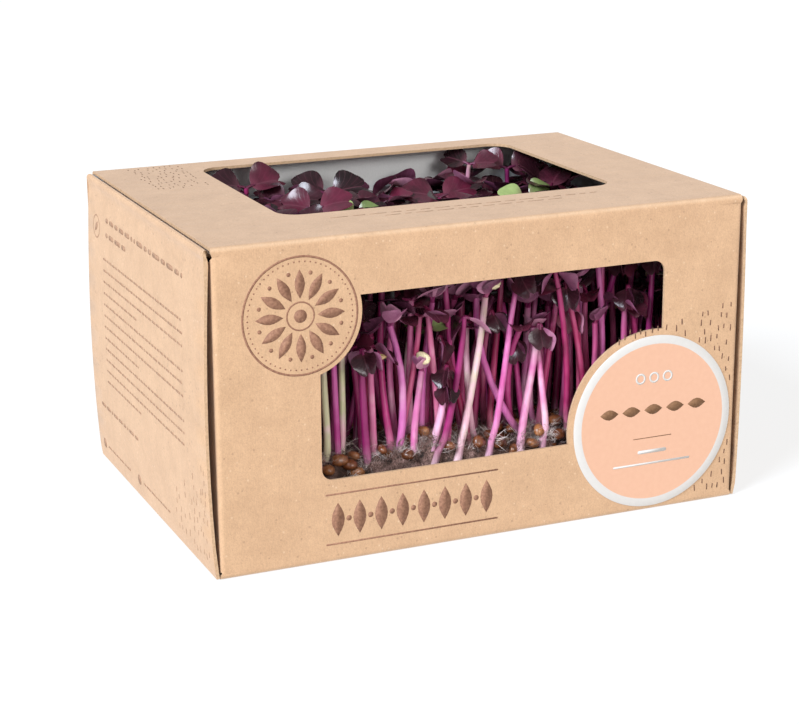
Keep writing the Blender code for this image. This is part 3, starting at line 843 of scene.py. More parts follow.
def lozenge(cx, cy, length, width, turn=0.0):
    """Outline of a pointed leaf-like lozenge with curved sides."""
    points = []
    for side in (1, -1):
        for step in range(6):
            t = step / 6
            points.append((side * length * (0.5 - t), side * width / 2 * math.sin(math.pi * t)))
    return turned_outline(points, cx, cy, turn)


def add_dash_field(pile, surface, box, count, seed, keep=lambda x, y: True, scale=1.0):
    """Short upright strokes scattered over a field."""
    rng = random.Random(seed)
    left, right, low, high = box
    placed = []
    for _ in range(count * 30):
        if len(placed) == count:
            break
        x, y = rng.uniform(left, right), rng.uniform(low, high)
        crowded = any(abs(x - px) < 1.5 * scale and abs(y - py) < 2.3 * scale for px, py in placed)
        if crowded or not keep(x, y):
            continue
        placed.append((x, y))
        turn = math.pi / 2 + rng.uniform(-0.12, 0.12)
        add_patch(pile, bar(x, y, rng.uniform(1.3, 1.9) * scale, 0.34 * scale, turn), surface)


def build_front_print():
    """The front's printed ornament: badge rings and rosette, and the row between two rules."""
    cx, cz, _ = BADGE_TAB
    pile = Pile()
    add_ring(pile, cx, cz, 14.9, 15.45, sleeve_surface)
    add_ring(pile, cx, cz, 3.4, 3.8, sleeve_surface, 48)
    for i in range(60):
        add_patch(pile, circle(*around(cx, cz, 13.9, math.pi * i / 30), 0.22, 8))
    for i in range(12):
        angle = math.pi * i / 6
        add_patch(pile, lozenge(*around(cx, cz, 8.2, angle), 7.4, 2.7, angle))
        add_patch(pile, circle(*around(cx, cz, 11.2, angle + math.pi / 12), 0.55, 10))
    add_patch(pile, circle(cx, cz, 1.7, 24))

    left, right, level = -46.6, 2.4, 11.6
    places = np.linspace(left + 3.4, right - 3.4, 8)
    for place in places:
        add_patch(pile, lozenge(place, level, 9.2, 3.6, math.pi / 2))
    for place in (places[1:] + places[:-1]) / 2:
        add_patch(pile, circle(place, level, 0.75, 14))
    for z in (18.6, 5.0):
        add_patch(pile, bar((left + right) / 2, z, right - left, 0.45))
    pile.build("print_front_ornament", (INK,), "kraft_card")


def build_dashes():
    """The dashes that the photograph shows round the label and on the top panel."""
    label_x, label_z, tab_radius = LABEL_TAB

    def off_label(x, y):
        away = math.hypot(x - label_x, y - label_z)
        return away > LABEL_RADIUS + 1.2 and y < 43 + 0.55 * (x - 48) + 6 * math.sin(x * 0.9)

    def on_tab(x, y):
        away = math.hypot(x - label_x, y - label_z)
        return LABEL_RADIUS + 0.9 < away < tab_radius + 1.5 and y > 44

    pile = Pile()
    add_dash_field(pile, sleeve_surface, (48.0, 73.2, 4.0, 56.0), 130, 5, off_label)
    add_dash_field(pile, sleeve_surface, (38.0, 56.0, 44.0, 52.0), 12, 6, on_tab)
    add_dash_field(pile, sleeve_surface, window_on_girth((-66.0, -50.5, 20.0, 51.0)), 80, 7, scale=0.75)
    pile.build("print_dashes", (INK_DARK,), "kraft_card")


def build_top_print():
    pile = Pile()
    for y, left, right in ((-33.4, -36.0, 42.0), (-36.4, -22.0, 28.0)):
        x = left
        rng = random.Random(int(-y * 10))
        while x < right:
            length = rng.uniform(1.6, 5.2)
            middle = (x + length / 2, TOP_FOLD + HALF_DEPTH + y)
            add_patch(pile, bar(*middle, length, 0.42))
            x += length + 1.2
    pile.build("print_top_rule", (INK_FAINT,), "kraft_card")


def add_rule_row(pile, surface, left, right, level, width, rng):
    """A row of short bars, in place of a line of small lettering."""
    x = left
    while x < right - 1.2 * width:
        length = min(rng.uniform(1.2, 5.5) * width ** 0.5, right - x)
        add_patch(pile, bar(x + length / 2, level, length, width), surface)
        x += length + 0.9 * width


def build_end_print(strip, body, name, with_rows):
    """Rows of plain bars in place of lettering, and a field of dashes low at the front edge."""
    pile = Pile()
    if with_rows:
        rng = random.Random(3)
        rows = [(-35.0, 36.0, 75.0, 1.35), (-35.0, -15.0, 70.8, 1.35), (-46.5, -9.0, 18.2, 1.0),
                (-44.0, -20.0, 5.2, 0.6), (-8.0, 17.0, 5.6, 0.6)]
        rows += [(-37.5, 36.0 if row % 4 != 3 else -4.0, 63.5 - 3.3 * row, 0.62) for row in range(12)]
        for left, right, level, width in rows:
            add_rule_row(pile, strip.surface, left, right, level, width, rng)
        for place in (-47.5, -12.0):
            add_patch(pile, circle(place, 5.4, 1.5, 20), strip.surface)
        add_ring(pile, -44.5, 71.5, 3.0, 3.4, strip.surface, 40)
        add_patch(pile, lozenge(-44.5, 71.5, 4.0, 1.8, 0.8), strip.surface)

    def ragged(x, y):
        return y < 9 + 0.55 * (abs(x) - 20) + 5 * math.sin(x * 0.8)

    left, right = (22.0, 51.5) if strip.side < 0 else (-51.5, -22.0)
    add_dash_field(pile, strip.surface, (left, right, 3.0, 32.0), 46, 11, ragged)
    pile.build(name, (INK_FAINT,), "kraft_card", body)


def build_label():
    """Round paper sticker: pale rim, peach field, and generic rules and lozenges on it."""
    cx, cz, _ = LABEL_TAB
    count = 160
    levels = ((0.0, LABEL_RADIUS), (LABEL_THICK * 0.7, LABEL_RADIUS), (LABEL_THICK, LABEL_RADIUS - 0.12),
              (LABEL_THICK, LABEL_RADIUS - LABEL_RIM), (LABEL_THICK, 14.0), (LABEL_THICK, 6.0))
    loops = [sleeve_surface(circle(cx, cz, radius, count), -height - LABEL_GLUE)
             for height, radius in levels]
    tips = [sleeve_surface([(cx, cz)], -height - LABEL_GLUE) for height in (0.0, LABEL_THICK)]
    slots = [0] * 3 * count + [1] * 2 * count + [0] * count + [1] * count
    pile = Pile()
    pile.add(np.concatenate(loops + tips), capped_faces(count, len(loops)), slots)
    label = pile.build("round_sticker", (LABEL_WHITE, LABEL_PEACH), "label_paper", sharp=40)
    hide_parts("round_label")

    lift = LABEL_THICK + PRINT_LIFT
    marks = Pile()
    for place in (-13.6, -6.8, 0.0, 6.8, 13.6):
        add_patch(marks, lozenge(cx + place, cz + 3.6, 5.6, 2.9), sleeve_surface, lift)
    add_patch(marks, bar(cx, cz - 4.4, 12.0, 0.22), sleeve_surface, lift)
    for place in (-4.2, 0.0, 4.2):
        add_ring(marks, cx + place, cz + 12.6, 1.0, 1.55, sleeve_surface, 32, lift, 1)
    for z, width, length in ((-8.4, 1.0, 9.0), (-11.8, 0.6, 24.0)):
        add_patch(marks, bar(cx, cz + z, length, width), sleeve_surface, lift, 1)
    marks.build("print_sticker_marks", (LABEL_INK, LABEL_WHITE), "label_paper")


# Tray and mat

def build_tray():
    """The thin formed tray: sloped walls, a rounded foot and a rolled flat rim."""
    rim = (TRAY_HIGH.x, TRAY_HIGH.y)
    low, top, wall = TRAY_LOW.z, TRAY_HIGH.z, TRAY_WALL
    rounds = ((TRAY_FLOOR, 1.4, low), (TRAY_FLOOR, 0.4, low + 0.3), (TRAY_FLOOR, 0.0, low + 1.2),
              (TRAY_MOUTH, 0.3, top - wall - 0.5), (TRAY_MOUTH, -0.1, top - wall), (rim, 0.3, top - wall),
              (rim, 0.0, top - wall - 0.6), (rim, 0.0, top - 0.4), (rim, 0.35, top),
              (TRAY_MOUTH, wall - 0.3, top), (TRAY_MOUTH, wall + 0.1, top - 0.4),
              (TRAY_FLOOR, wall, low + 2.0), (TRAY_FLOOR, wall + 1.4, low + wall))
    loops = []
    for half, inset, z in rounds:
        x, y = half[0] - inset, half[1] - inset
        outline = rounded_rectangle(-x, x, -y, y, TRAY_CORNER - inset, 12)
        loops.append([(px, py, z) for px, py in outline])
    count = len(loops[0])
    last = (len(loops) - 1) * count
    faces = ring_faces(count, len(loops))
    faces += [tuple(reversed(range(count))), tuple(range(last, last + count))]
    pile = Pile()
    pile.add(np.concatenate(loops), faces)
    tray = pile.build("formed_tray", (TRAY_PLASTIC,), "tray_plastic", sharp=50)
    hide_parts("seed_tray")


def mat_height(x, y, feet):
    """Height of the mat's top and how much root felt lies there, at a place in millimetres."""
    rough = noise.fractal(Vector((x * 0.11, y * 0.11, 3.1)), 1.0, 2.1, 5)
    bumps = noise.fractal(Vector((x * 0.45, y * 0.45, 8.7)), 1.0, 2.0, 3)
    near = np.exp(-((feet[:, 0] - x) ** 2 + (feet[:, 1] - y) ** 2) / 4.0).sum()
    mound = max(0.0, noise.noise(Vector((x * 0.12, y * 0.12, 5.5))) + 0.22)
    pit = max(0.0, noise.noise(Vector((x * 0.24, y * 0.24, 2.2))))
    height = 0.9 * rough + 1.3 * bumps + 1.9 * min(near, 1.2) + 4.2 * mound - 5.0 * pit
    felt = 0.9 * near + 1.2 * mound - 2.2 * pit + 0.7 * noise.noise(Vector((x * 0.3, y * 0.3, 1.3)))
    return MAT_TOP_Z - 1.0 + height, min(max(felt, 0.0), 1.0)


def build_mat(feet):
    """The wet mat: a closed block with an uneven top, its grid finer towards the front window."""
    half_x, half_y = MAT_HALF
    xs = np.linspace(-half_x, half_x, 151)
    ys = np.concatenate((np.linspace(-half_y, MAT_FINE_TO, 36)[:-1], np.linspace(MAT_FINE_TO, half_y, 42)))
    straight = (half_x - MAT_CORNER, half_y - MAT_CORNER)
    verts, felts = [], []
    for y in ys:
        for x in xs:
            over = [max(abs(value) - limit, 0.0) for value, limit in zip((x, y), straight)]
            away = math.hypot(*over)
            scale = min(1.0, MAT_CORNER / away) if away > 0 else 1.0
            px, py = [math.copysign(min(abs(value), limit) + past * scale, value)
                      for value, limit, past in zip((x, y), straight, over)]
            z, felt = mat_height(px, py, feet)
            verts.append((px, py, z))
            felts.append(felt)
    width, depth = len(xs), len(ys)
    faces = [(j * width + i, j * width + i + 1, (j + 1) * width + i + 1, (j + 1) * width + i)
             for j in range(depth - 1) for i in range(width - 1)]
    ring = list(range(width)) + [j * width - 1 for j in range(2, depth + 1)]
    ring += [(depth - 1) * width + i for i in range(width - 2, -1, -1)]
    ring += [j * width for j in range(depth - 2, 0, -1)]
    first, size = len(verts), len(ring)
    verts += [(verts[index][0] * 0.985, verts[index][1] * 0.978, TRAY_LOW.z + 1.3) for index in ring]
    felts += [0.0] * size
    faces += [(ring[(i + 1) % size], ring[i], first + i, first + (i + 1) % size) for i in range(size)]
    faces.append(tuple(reversed(range(first, first + size))))
    pile = Pile()
    pile.add(verts, faces, 0, paint_rows(np.array(felts), 0, 0, 0))
    mat = pile.build("rooted_mat", (WET_MAT,), "growing_mat", sharp=60)
    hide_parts("growing_mat")


def sphere_template(rings, sides):
    heights = [math.pi * i / rings for i in range(1, rings)]
    turns = [2 * math.pi * j / sides for j in range(sides)]
    verts = [(math.sin(a) * math.cos(t), math.sin(a) * math.sin(t), -math.cos(a))
             for a in heights for t in turns]
    return np.array(verts + [(0, 0, -1), (0, 0, 1)], float), capped_faces(sides, rings - 1)


SEED_VERTS, SEED_FACES = sphere_template(8, 12)


def add_seed(pile, x, y, z, turn, tip, scale, tone, rng):
    """One swollen seed: a plump oval with a groove and slight lumps."""
    v = SEED_VERTS
    groove = 1.0 - 0.14 * np.exp(-((v[:, 1]) / 0.28) ** 2) * (v[:, 2] > -0.2)
    lump = 1.0 + 0.05 * np.sin(3 * v[:, 0] + rng.uniform(0, 6))
    lump += 0.05 * np.cos(4 * v[:, 1] + rng.uniform(0, 6))
    points = v * np.array(SEED_AXES) * scale * (groove * lump)[:, None]
    turned = Matrix.Rotation(turn, 3, "Z") @ Matrix.Rotation(tip, 3, "X")
    pile.add(points @ np.array(turned).T + (x, y, z), SEED_FACES, 0, (tone, 0, 0, 0))


# Sprouts: the frame's rule

def stem_point(sprout, t):
    x, y = sprout["foot"]
    lean_x, lean_y = sprout["lean"]
    bow_x, bow_y = sprout["bow"]
    arch = 4 * t * (1 - t)
    z = MAT_TOP_Z - 1.5 + (sprout["height"] + 1.5) * t
    return Vector((x + lean_x * t + bow_x * arch, y + lean_y * t + bow_y * arch, z))


def leaf_frame(sprout, which):
    azimuth = sprout["azimuth"] + which * math.pi + sprout["skew"][which]
    top = stem_point(sprout, 1.0)
    place = Matrix.Translation(top)
    turn = Matrix.Rotation(azimuth, 4, "Z") @ Matrix.Rotation(-sprout["rise"][which], 4, "Y")
    roll = Matrix.Rotation(sprout["roll"][which], 4, "X")
    return place @ turn @ roll


def leaf_surface(u, v, droop):
    return Vector((u, v, 0.055 * v * v - droop * u * u))


def clearance_points(sprout):
    rows = [(*stem_point(sprout, i / STEM_SPHERES), STEM_RADIUS) for i in range(STEM_SPHERES + 1)]
    for which in (0, 1):
        leaf = leaf_frame(sprout, which)
        size = sprout["size"][which]
        for u, v, radius in LEAF_SPHERES:
            centre = leaf @ (leaf_surface(u, v, sprout["droop"]) * size)
            rows.append((*centre, radius * size))
    return np.array(rows)


def two(rng, low, high):
    return rng.uniform(low, high), rng.uniform(low, high)


def draw_sprout(rng, x, y):
    reach = rng.uniform(0.0, 7.5)
    heading = rng.uniform(0, 2 * math.pi)
    return {
        "foot": (x, y),
        "height": rng.uniform(38.0, 55.0),
        "lean": (reach * math.cos(heading), reach * math.sin(heading)),
        "bow": two(rng, -1.6, 1.6),
        "azimuth": rng.uniform(0, 2 * math.pi),
        "skew": two(rng, -0.3, 0.3),
        "rise": two(rng, -0.25, 0.75),
        "roll": two(rng, -0.5, 0.5),
        "size": (rng.uniform(0.85, 1.1), rng.uniform(0.8, 1.05)),
        "droop": rng.uniform(0.0, 0.022),
    }


def inside_limits(rows):
    reach = np.abs(rows[:, :3]) + rows[:, 3:]
    return bool((reach <= np.array(LEAF_LIMIT)).all())


def clear_of(rows, others, space):
    if not len(others):
        return True
    away = np.linalg.norm(rows[:, None, :3] - others[None, :, :3], axis=2)
    return bool((away >= rows[:, None, 3] + others[None, :, 3] + space).all())


def plan_clumps():
    rng = random.Random(SEED_OF_RULE)
    clumps = []
    taken = np.zeros((0, 4))
    first_free = STEM_SPHERES // 3
    for row, count in zip(ROWS, ROW_COUNTS):
        for place in range(count):
            middle = (place - (count - 1) / 2) * 2 * ROW_HALF_WIDTH / max(ROW_COUNTS)
            x = middle + rng.uniform(-ROW_JITTER, ROW_JITTER)
            y = row + rng.uniform(-ROW_JITTER, ROW_JITTER)
            for _ in range(PAIR_TRIES):
                angle = rng.uniform(0, math.pi)
                step = Vector((math.cos(angle), math.sin(angle))) * PAIR_HALF_STEP
                pair = [draw_sprout(rng, x + s * step.x, y + s * step.y) for s in (-1, 1)]
                spheres = [clearance_points(sprout) for sprout in pair]
                both = np.concatenate(spheres)
                if not inside_limits(both) or not clear_of(both, taken, PAIR_SPACE):
                    continue
                if clear_of(spheres[0][first_free:], spheres[1][first_free:], TWIN_SPACE):
                    taken = np.concatenate((taken, both))
                    clumps.append({"centre": (x, y), "pair": pair})
                    break
    return clumps


def plan_seeds(plugs):
    rng = random.Random(SEED_OF_RULE + 1)
    seeds = []
    to_rim, to_plug, to_seed = SEED_SPACES
    half_x = TRAY_HIGH.x - to_rim
    half_y = TRAY_HIGH.y - to_rim
    while len(seeds) < SEED_COUNT:
        x = rng.uniform(-half_x, half_x)
        y = rng.uniform(-half_y, half_y)
        near_plug = any(math.hypot(x - px, y - py) < PLUG_RADIUS + to_plug for px, py in plugs)
        near_seed = any(math.hypot(x - s[0], y - s[1]) < to_seed for s in seeds)
        if not near_plug and not near_seed:
            seeds.append((x, y, rng.uniform(0, math.pi), rng.uniform(-0.5, 0.5)))
    return seeds


# Sprouts: the finer form

# Sprouts that stand out in the photograph:
# foot x and y, top x and y, height, sideways bow, tone, leaf pose, leaf size
HEROES = (
    (-5.5, -46.3, 2.0, -46.5, 42.0, 0.6, 0.93, "hull", 0.80),
    (16.8, -43.5, 1.2, -43.0, 43.0, -5.0, 0.68, "disc", 0.80),
    (-5.9, -45.0, -6.3, -45.5, 24.5, 0.4, 0.62, "hood", 0.78),
    (-18.2, -46.3, -16.0, -46.0, 24.0, -0.8, 0.80, "hull", 0.55),
    (-22.8, -45.2, -24.6, -45.0, 37.0, 2.6, 0.74, "disc", 0.80),
    (-25.7, -43.0, -17.9, -43.5, 38.0, 1.4, 0.66, "fan", 0.85),
    (-17.5, -41.0, -14.6, -42.0, 41.0, -0.8, 0.70, "disc", 1.05),
    (-31.2, -46.3, -32.9, -46.3, 32.0, -0.8, 0.36, "hood", 0.80),
    (-39.6, -41.5, -39.3, -42.0, 40.0, 0.5, 0.95, "fan", 0.85),
    (-42.4, -45.0, -43.6, -45.0, 36.0, 0.5, 1.00, "fan", 0.80),
    (-4.6, -36.0, -5.3, -39.0, 35.0, -0.5, 0.78, "disc", 0.80),
    (-10.4, -44.5, -13.5, -44.0, 40.0, 0.6, 0.76, "fan", 0.85),
    (-11.1, -46.4, -5.8, -46.4, 20.5, 0.4, 0.84, "hood", 0.66),
    (-20.1, -34.0, -20.6, -35.0, 32.0, 0.4, 0.86, "hood", 0.85),
    (32.0, -38.0, 31.3, -38.5, 39.0, 0.3, 0.74, "fan", 0.90),
    (34.6, -41.5, 32.4, -42.0, 43.0, 0.4, 0.62, "disc", 0.80),
    (35.3, -44.5, 35.3, -45.5, 31.0, 0.3, 0.66, "disc", 0.68),
    (18.6, -38.0, 13.8, -39.5, 28.0, -0.4, 0.52, "hood", 0.80),
    (20.0, -33.0, 18.8, -38.0, 35.5, 0.2, 0.80, "disc", 1.12),
    (26.8, -31.0, 25.5, -37.0, 35.0, 0.4, 0.50, "disc", 1.12),
    (-6.0, -30.0, -3.0, -38.0, 40.0, 0.4, 0.60, "disc", 1.10),
    (46.5, -45.0, 44.5, -45.5, 36.0, -0.6, 0.72, "fan", 0.80),
    (52.0, -43.0, 46.0, -44.0, 40.0, 0.8, 0.60, "hood", 0.80),
    (-36.0, 40.0, -34.0, 38.0, 58.5, 0.0, 0.40, "wide", 1.25),
    (31.0, 44.0, 38.5, 40.5, 59.0, 0.0, 0.92, "wide", 0.95),
    (52.0, 40.0, 49.5, 37.0, 57.5, 0.0, 0.45, "wide", 1.15),
    (46.0, 14.0, 44.0, 13.0, 53.5, 0.0, 0.95, "green", 0.90),
    (-14.0, 8.0, -12.5, 8.5, 54.0, 0.0, 0.95, "green", 0.85),
    (-9.0, 38.0, -9.0, 37.0, 54.5, 0.0, 0.30, "wide", 1.20),
    (22.0, 24.0, 21.0, 24.0, 53.5, 0.0, 0.30, "wide", 1.20),
    (-20.0, 18.0, -21.0, 17.0, 55.0, 0.0, 0.30, "wide", 1.20),
    (-26.0, 30.0, -24.5, 29.0, 55.0, 0.0, 0.30, "wide", 1.10),
    (-12.5, -39.5, -11.2, -39.0, 33.0, 0.4, 0.50, "green", 0.68),
)


def stem_samples(sprout):
    return np.array([tuple(stem_point(sprout, t)) for t in np.linspace(0, 1, 10)])


def leaf_samples(sprout):
    leaves = [leaf_frame(sprout, which) for which in (0, 1)]
    return np.array([tuple(leaf @ Vector((u, 0, 0))) for leaf in leaves for u in (3.5, 7.0)])


def nearest(points, others):
    """The smallest distance between two sets of points."""
    return np.linalg.norm(points[:, None] - others[None], axis=2).min()


def pose_leaves(sprout, pose, rng):
    """Turn the leaves: a hood hangs and a disc rises towards the front window, a fan stays as drawn."""
    if pose == "fan":
        return
    if pose in ("wide", "green"):
        sprout["azimuth"] = ACROSS_VIEW + rng.uniform(-0.4, 0.4)
        sprout["rise"] = (rng.uniform(0.25, 0.5), rng.uniform(0.2, 0.45))
        sprout["roll"] = (0.6, -0.6)
        sprout["droop"] = 0.025
        return
    turned = rng.uniform(0.9, 1.35)
    sprout["azimuth"] = rng.uniform(-0.6, 0.6)
    sprout["skew"] = (-turned, turned)
    if pose == "hood":
        sprout["rise"] = two(rng, -1.2, -0.6)
        sprout["roll"] = (-0.5, 0.5)
        sprout["droop"] = rng.uniform(0.015, 0.03)
    elif pose == "disc":
        sprout["rise"] = two(rng, 0.7, 1.25)
        sprout["roll"] = two(rng, -0.3, 0.3)
    else:
        sprout["rise"] = two(rng, 1.0, 1.3)


def plan_heroes(clumps):
    """The sprouts that stand out in the photograph, each moved sideways where a pair of the frame stands."""
    rng = random.Random(SEED_OF_RULE + 5)
    stems = np.concatenate([stem_samples(s) for clump in clumps for s in clump["pair"]])
    heroes = []
    for foot_x, foot_y, top_x, top_y, height, bow, tone, pose, size in HEROES:
        best, best_away = None, 0.0
        for nudge in HERO_NUDGES:
            sprout = draw_sprout(rng, foot_x + nudge, foot_y)
            sprout.update(height=height, lean=(top_x - foot_x, top_y - foot_y), bow=(bow, 0.0), tone=tone,
                          pose=pose, size=(size, size * rng.uniform(0.9, 1.05)))
            pose_leaves(sprout, pose, rng)
            away = nearest(stem_samples(sprout), stems)
            if away > best_away:
                best, best_away = sprout, away
            if away > HERO_SPACE:
                break
        stems = np.concatenate((stems, stem_samples(best)))
        heroes.append(best)
    return heroes


def shape_filler(sprout, rng):
    """Height, lean and leaf pose of a filler: short and drooping at the front, tall at the back."""
    y = sprout["foot"][1]
    lean = rng.uniform(0.9, 1.7)
    bow = rng.choice((1.2, 1.6, 2.6))
    sprout["lean"] = tuple(value * lean for value in sprout["lean"])
    sprout["bow"] = tuple(value * bow for value in sprout["bow"])
    sprout["rise"] = tuple(value * 0.8 + 0.25 for value in sprout["rise"])
    sprout["droop"] = rng.uniform(0.012, 0.045)
    if y < FRONT_ROWS_TO:
        size = rng.uniform(0.68, 0.98)
        sprout["size"] = (size, size * rng.uniform(0.85, 1.0))
        sprout["height"] = rng.uniform(30.0, 49.0)
        sprout["rise"] = two(rng, -0.95, 0.6)
        sprout["roll"] = two(rng, -0.9, 0.9)
        pose_leaves(sprout, rng.choice(("hood", "disc", "disc", "fan", "fan")), rng)
    elif y > BACK_ROWS_FROM:
        sprout["size"] = (rng.uniform(0.95, 1.25), rng.uniform(0.90, 1.20))
        sprout["height"] = rng.uniform(39.0, 54.5)
    else:
        sprout["size"] = (rng.uniform(0.85, 1.15), rng.uniform(0.80, 1.10))
        sprout["height"] = rng.uniform(37.0, 54.0)


def plan_fillers(standing):
    """More sprouts between those that stand already, their stems and leaves clear of each other."""
    rng = random.Random(SEED_OF_RULE + 7)
    stems = np.concatenate([stem_samples(s) for s in standing])
    leaves = np.concatenate([leaf_samples(s) for s in standing])
    fillers = []
    stems_apart, leaves_apart, leaf_to_stem = FILL_SPACES
    xs = np.arange(-66.0, 66.1, FILL_STEP[0])
    for row, y0 in enumerate(np.arange(-46.0, 46.1, FILL_STEP[1])):
        for x0 in xs + (row % 2) * FILL_STEP[0] / 2:
            for _ in range(FILL_TRIES):
                jitter_x, jitter_y = two(rng, -FILL_JITTER, FILL_JITTER)
                sprout = draw_sprout(rng, x0 + jitter_x, y0 + jitter_y)
                shape_filler(sprout, rng)
                line, blades = stem_samples(sprout), leaf_samples(sprout)
                reach = np.abs(np.concatenate((line, blades))).max(axis=0)
                if (reach > FILL_LIMIT).any() or nearest(line, stems) < stems_apart:
                    continue
                if nearest(blades, leaves) < leaves_apart or nearest(blades, stems) < leaf_to_stem:
                    continue
                stems = np.concatenate((stems, line))
                leaves = np.concatenate((leaves, blades))
                fillers.append(sprout)
                break
    return fillers


def leaf_template():
    """Grid of a leaf: rows run out along it, columns across; both skins share the rim."""
    rows, columns = len(LEAF_ROWS), len(LEAF_COLUMNS)
    t, v = np.meshgrid(LEAF_ROWS, LEAF_COLUMNS, indexing="ij")
    inner = [(r, c) for r in range(1, rows - 1) for c in range(1, columns - 1)]
    under = {place: rows * columns + i for i, place in enumerate(inner)}
    faces = []
    for r in range(rows - 1):
        for c in range(columns - 1):
            corners = ((r, c), (r + 1, c), (r + 1, c + 1), (r, c + 1))
            upper = [row * columns + column for row, column in corners]
            lower = [under.get(place, index) for place, index in zip(corners, upper)]
            faces += [tuple(upper), (lower[0], *reversed(lower[1:]))]
    share_t, share_v = [np.concatenate((grid.ravel(), [grid[place] for place in inner])) for grid in (t, v)]
    skin = np.concatenate((np.ones(rows * columns), -np.ones(len(inner))))
    return share_t, share_v, skin, faces


LEAF_T, LEAF_V, LEAF_SKIN, LEAF_FACES = leaf_template()
LEAF_SLOTS = [1, 2] * (len(LEAF_FACES) // 2)


def add_leaf(pile, sprout, which, rng):
    """One notched seed leaf on its frame, with its own cup, wave and tone."""
    leaf = np.array(leaf_frame(sprout, which))
    size = sprout["size"][which]
    t, v = LEAF_T, LEAF_V
    a = np.abs(v)
    reach = 8.1 + 5.2 * a - 5.7 * a * a
    u = LEAF_START + (reach - LEAF_START) * t
    across = v * (0.5 + 3.95 * np.sin(math.pi * 0.78 * t ** 0.8) ** 0.75)
    wave = 0.22 * np.sin(u * 0.9 + rng.uniform(0, 6)) * a ** 2 * rng.uniform(0.3, 1.6)
    cup = 0.055 + sprout["cup"][which]
    rib = 0.22 * np.exp(-(across / 0.7) ** 2) * (t > 0)
    lift = cup * across ** 2 - sprout["droop"] * u * u + wave - rib
    thick = 0.24 * (1 - a ** 4) * (1 - np.abs(2 * t - 1) ** 6)
    local = np.column_stack((u, across, lift)) * size
    local[:, 2] += LEAF_SKIN * thick
    points = local @ leaf[:3, :3].T + leaf[:3, 3]
    paint = paint_rows(sprout["leaf_tone"][which], t, v / 2 + 0.5, sprout["green"])
    pile.add(points, LEAF_FACES, LEAF_SLOTS, paint)


def add_sprout(pile, sprout, rng, sides, rings):
    """Stem, forked stalks and two leaves. Material slots: 0 stem, 1 leaf top, 2 leaf underside."""
    t = np.linspace(0, 1, rings) ** 1.25
    line = np.array([tuple(stem_point(sprout, s)) for s in t])
    wiggle = 0.25 * np.sin(np.outer(t, (5.0, 7.0)) + rng.uniform(0, 6)) * (t * (1 - t) * 4)[:, None]
    turn = rng.uniform(0, 2 * math.pi)
    kick = rng.uniform(0.2, 1.9) * np.exp(-(t / 0.11) ** 2)
    line[:, :2] += wiggle + np.outer(kick, (math.cos(turn), math.sin(turn)))
    line[0, 2] -= FOOT_DEPTH
    radii = STEM_RADIUS * (1.0 - 0.28 * t) * sprout["girth"]
    radii[0] *= 1.12
    radii[-1] *= 0.8 if sprout["rise"][0] < 0 else 1.1
    verts, faces = tube(line, radii, sides)
    along = np.concatenate((np.repeat(t, sides), (0.0, 1.0)))
    pile.add(verts, faces, 0, paint_rows(sprout["tone"], along, sprout["depth"], sprout["hue"]))
    # Leaf stalks: a darker tone, and the painted-shade channel from 0.32 at the front to 0.80 at the back
    stalk_paint = (sprout["tone"] * 0.6, PETIOLE_HEAD, sprout["stalk_depth"], sprout["hue"])
    top = line[-1]
    rise = line[-1] - line[-2]
    rise /= np.linalg.norm(rise)
    for which in (0, 1):
        leaf = np.array(leaf_frame(sprout, which))
        size = sprout["size"][which]
        end = leaf[:3, :3] @ (np.array((LEAF_START + 0.9, 0, -0.1)) * size) + leaf[:3, 3]
        toward = leaf[:3, 0]
        path = bezier(top - rise * 0.5, top + rise * 0.3, end - toward * 0.8, end, 6)
        verts, faces = tube(path, np.linspace(0.72, 0.36, 6) * sprout["girth"], 6)
        pile.add(verts, faces, 0, stalk_paint)
        add_leaf(pile, sprout, which, rng)


def dress_sprout(sprout, rng):
    """Colour and stoutness of one sprout, with painted shade: bright by the front window, near black in the
    depth.
    """
    pick = rng.random()
    if pick < 0.50:
        tone = rng.uniform(0.26, 0.60)
    elif pick < 0.88:
        tone = rng.uniform(0.60, 0.84)
    elif pick < 0.96:
        tone = rng.uniform(0.86, 0.94)
    else:
        tone = rng.uniform(0.97, 1.05)
    # painted shade: the further back a stem stands, the darker its tone and its shade channel, and its leaf
    # stalks' shade channel
    depth = min(max((sprout["foot"][1] - DEPTH_FROM) / DEPTH_REACH, 0.0), 1.0)
    sprout["depth"] = depth if "tone" not in sprout else 0.0
    sprout["stalk_depth"] = 0.32 + 0.48 * depth
    sprout.setdefault("tone", tone * (1.0 - 0.6 * depth))
    sprout["girth"] = rng.uniform(0.82, 1.04) * (1.04 - 0.08 * depth)
    sprout["leaf_tone"] = two(rng, 0.0, 0.85)
    sprout["cup"] = two(rng, -0.01, 0.08)
    sprout["hue"] = rng.random()
    chance = GREEN_SHARE if sprout["foot"][1] > GREEN_FROM else 0.0
    sprout["green"] = 1.0 if rng.random() < chance or sprout.get("pose") == "green" else 0.0


def build_sprouts(clumps, fillers):
    rng = random.Random(SEED_OF_RULE + 11)
    materials = (STEM_SKIN, LEAF_TOP, LEAF_UNDER)
    for number, clump in enumerate(clumps, start=1):
        pile = Pile()
        for sprout in clump["pair"]:
            dress_sprout(sprout, rng)
            add_sprout(pile, sprout, rng, 9, 12)
        item = pile.build("radish_pair_%02d" % number, materials, "sprout", sharp=60)
        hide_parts("sprout_pair_%02d" % number)
    bands = {}
    for sprout in fillers:
        dress_sprout(sprout, rng)
        band = int((sprout["foot"][1] + 50) // BAND_DEPTH)
        pile = bands.setdefault(band, Pile())
        add_sprout(pile, sprout, rng, 8, 9)
    for band, pile in sorted(bands.items()):
        pile.build("radish_row_%02d" % (band + 1), materials, "sprout", sharp=60)


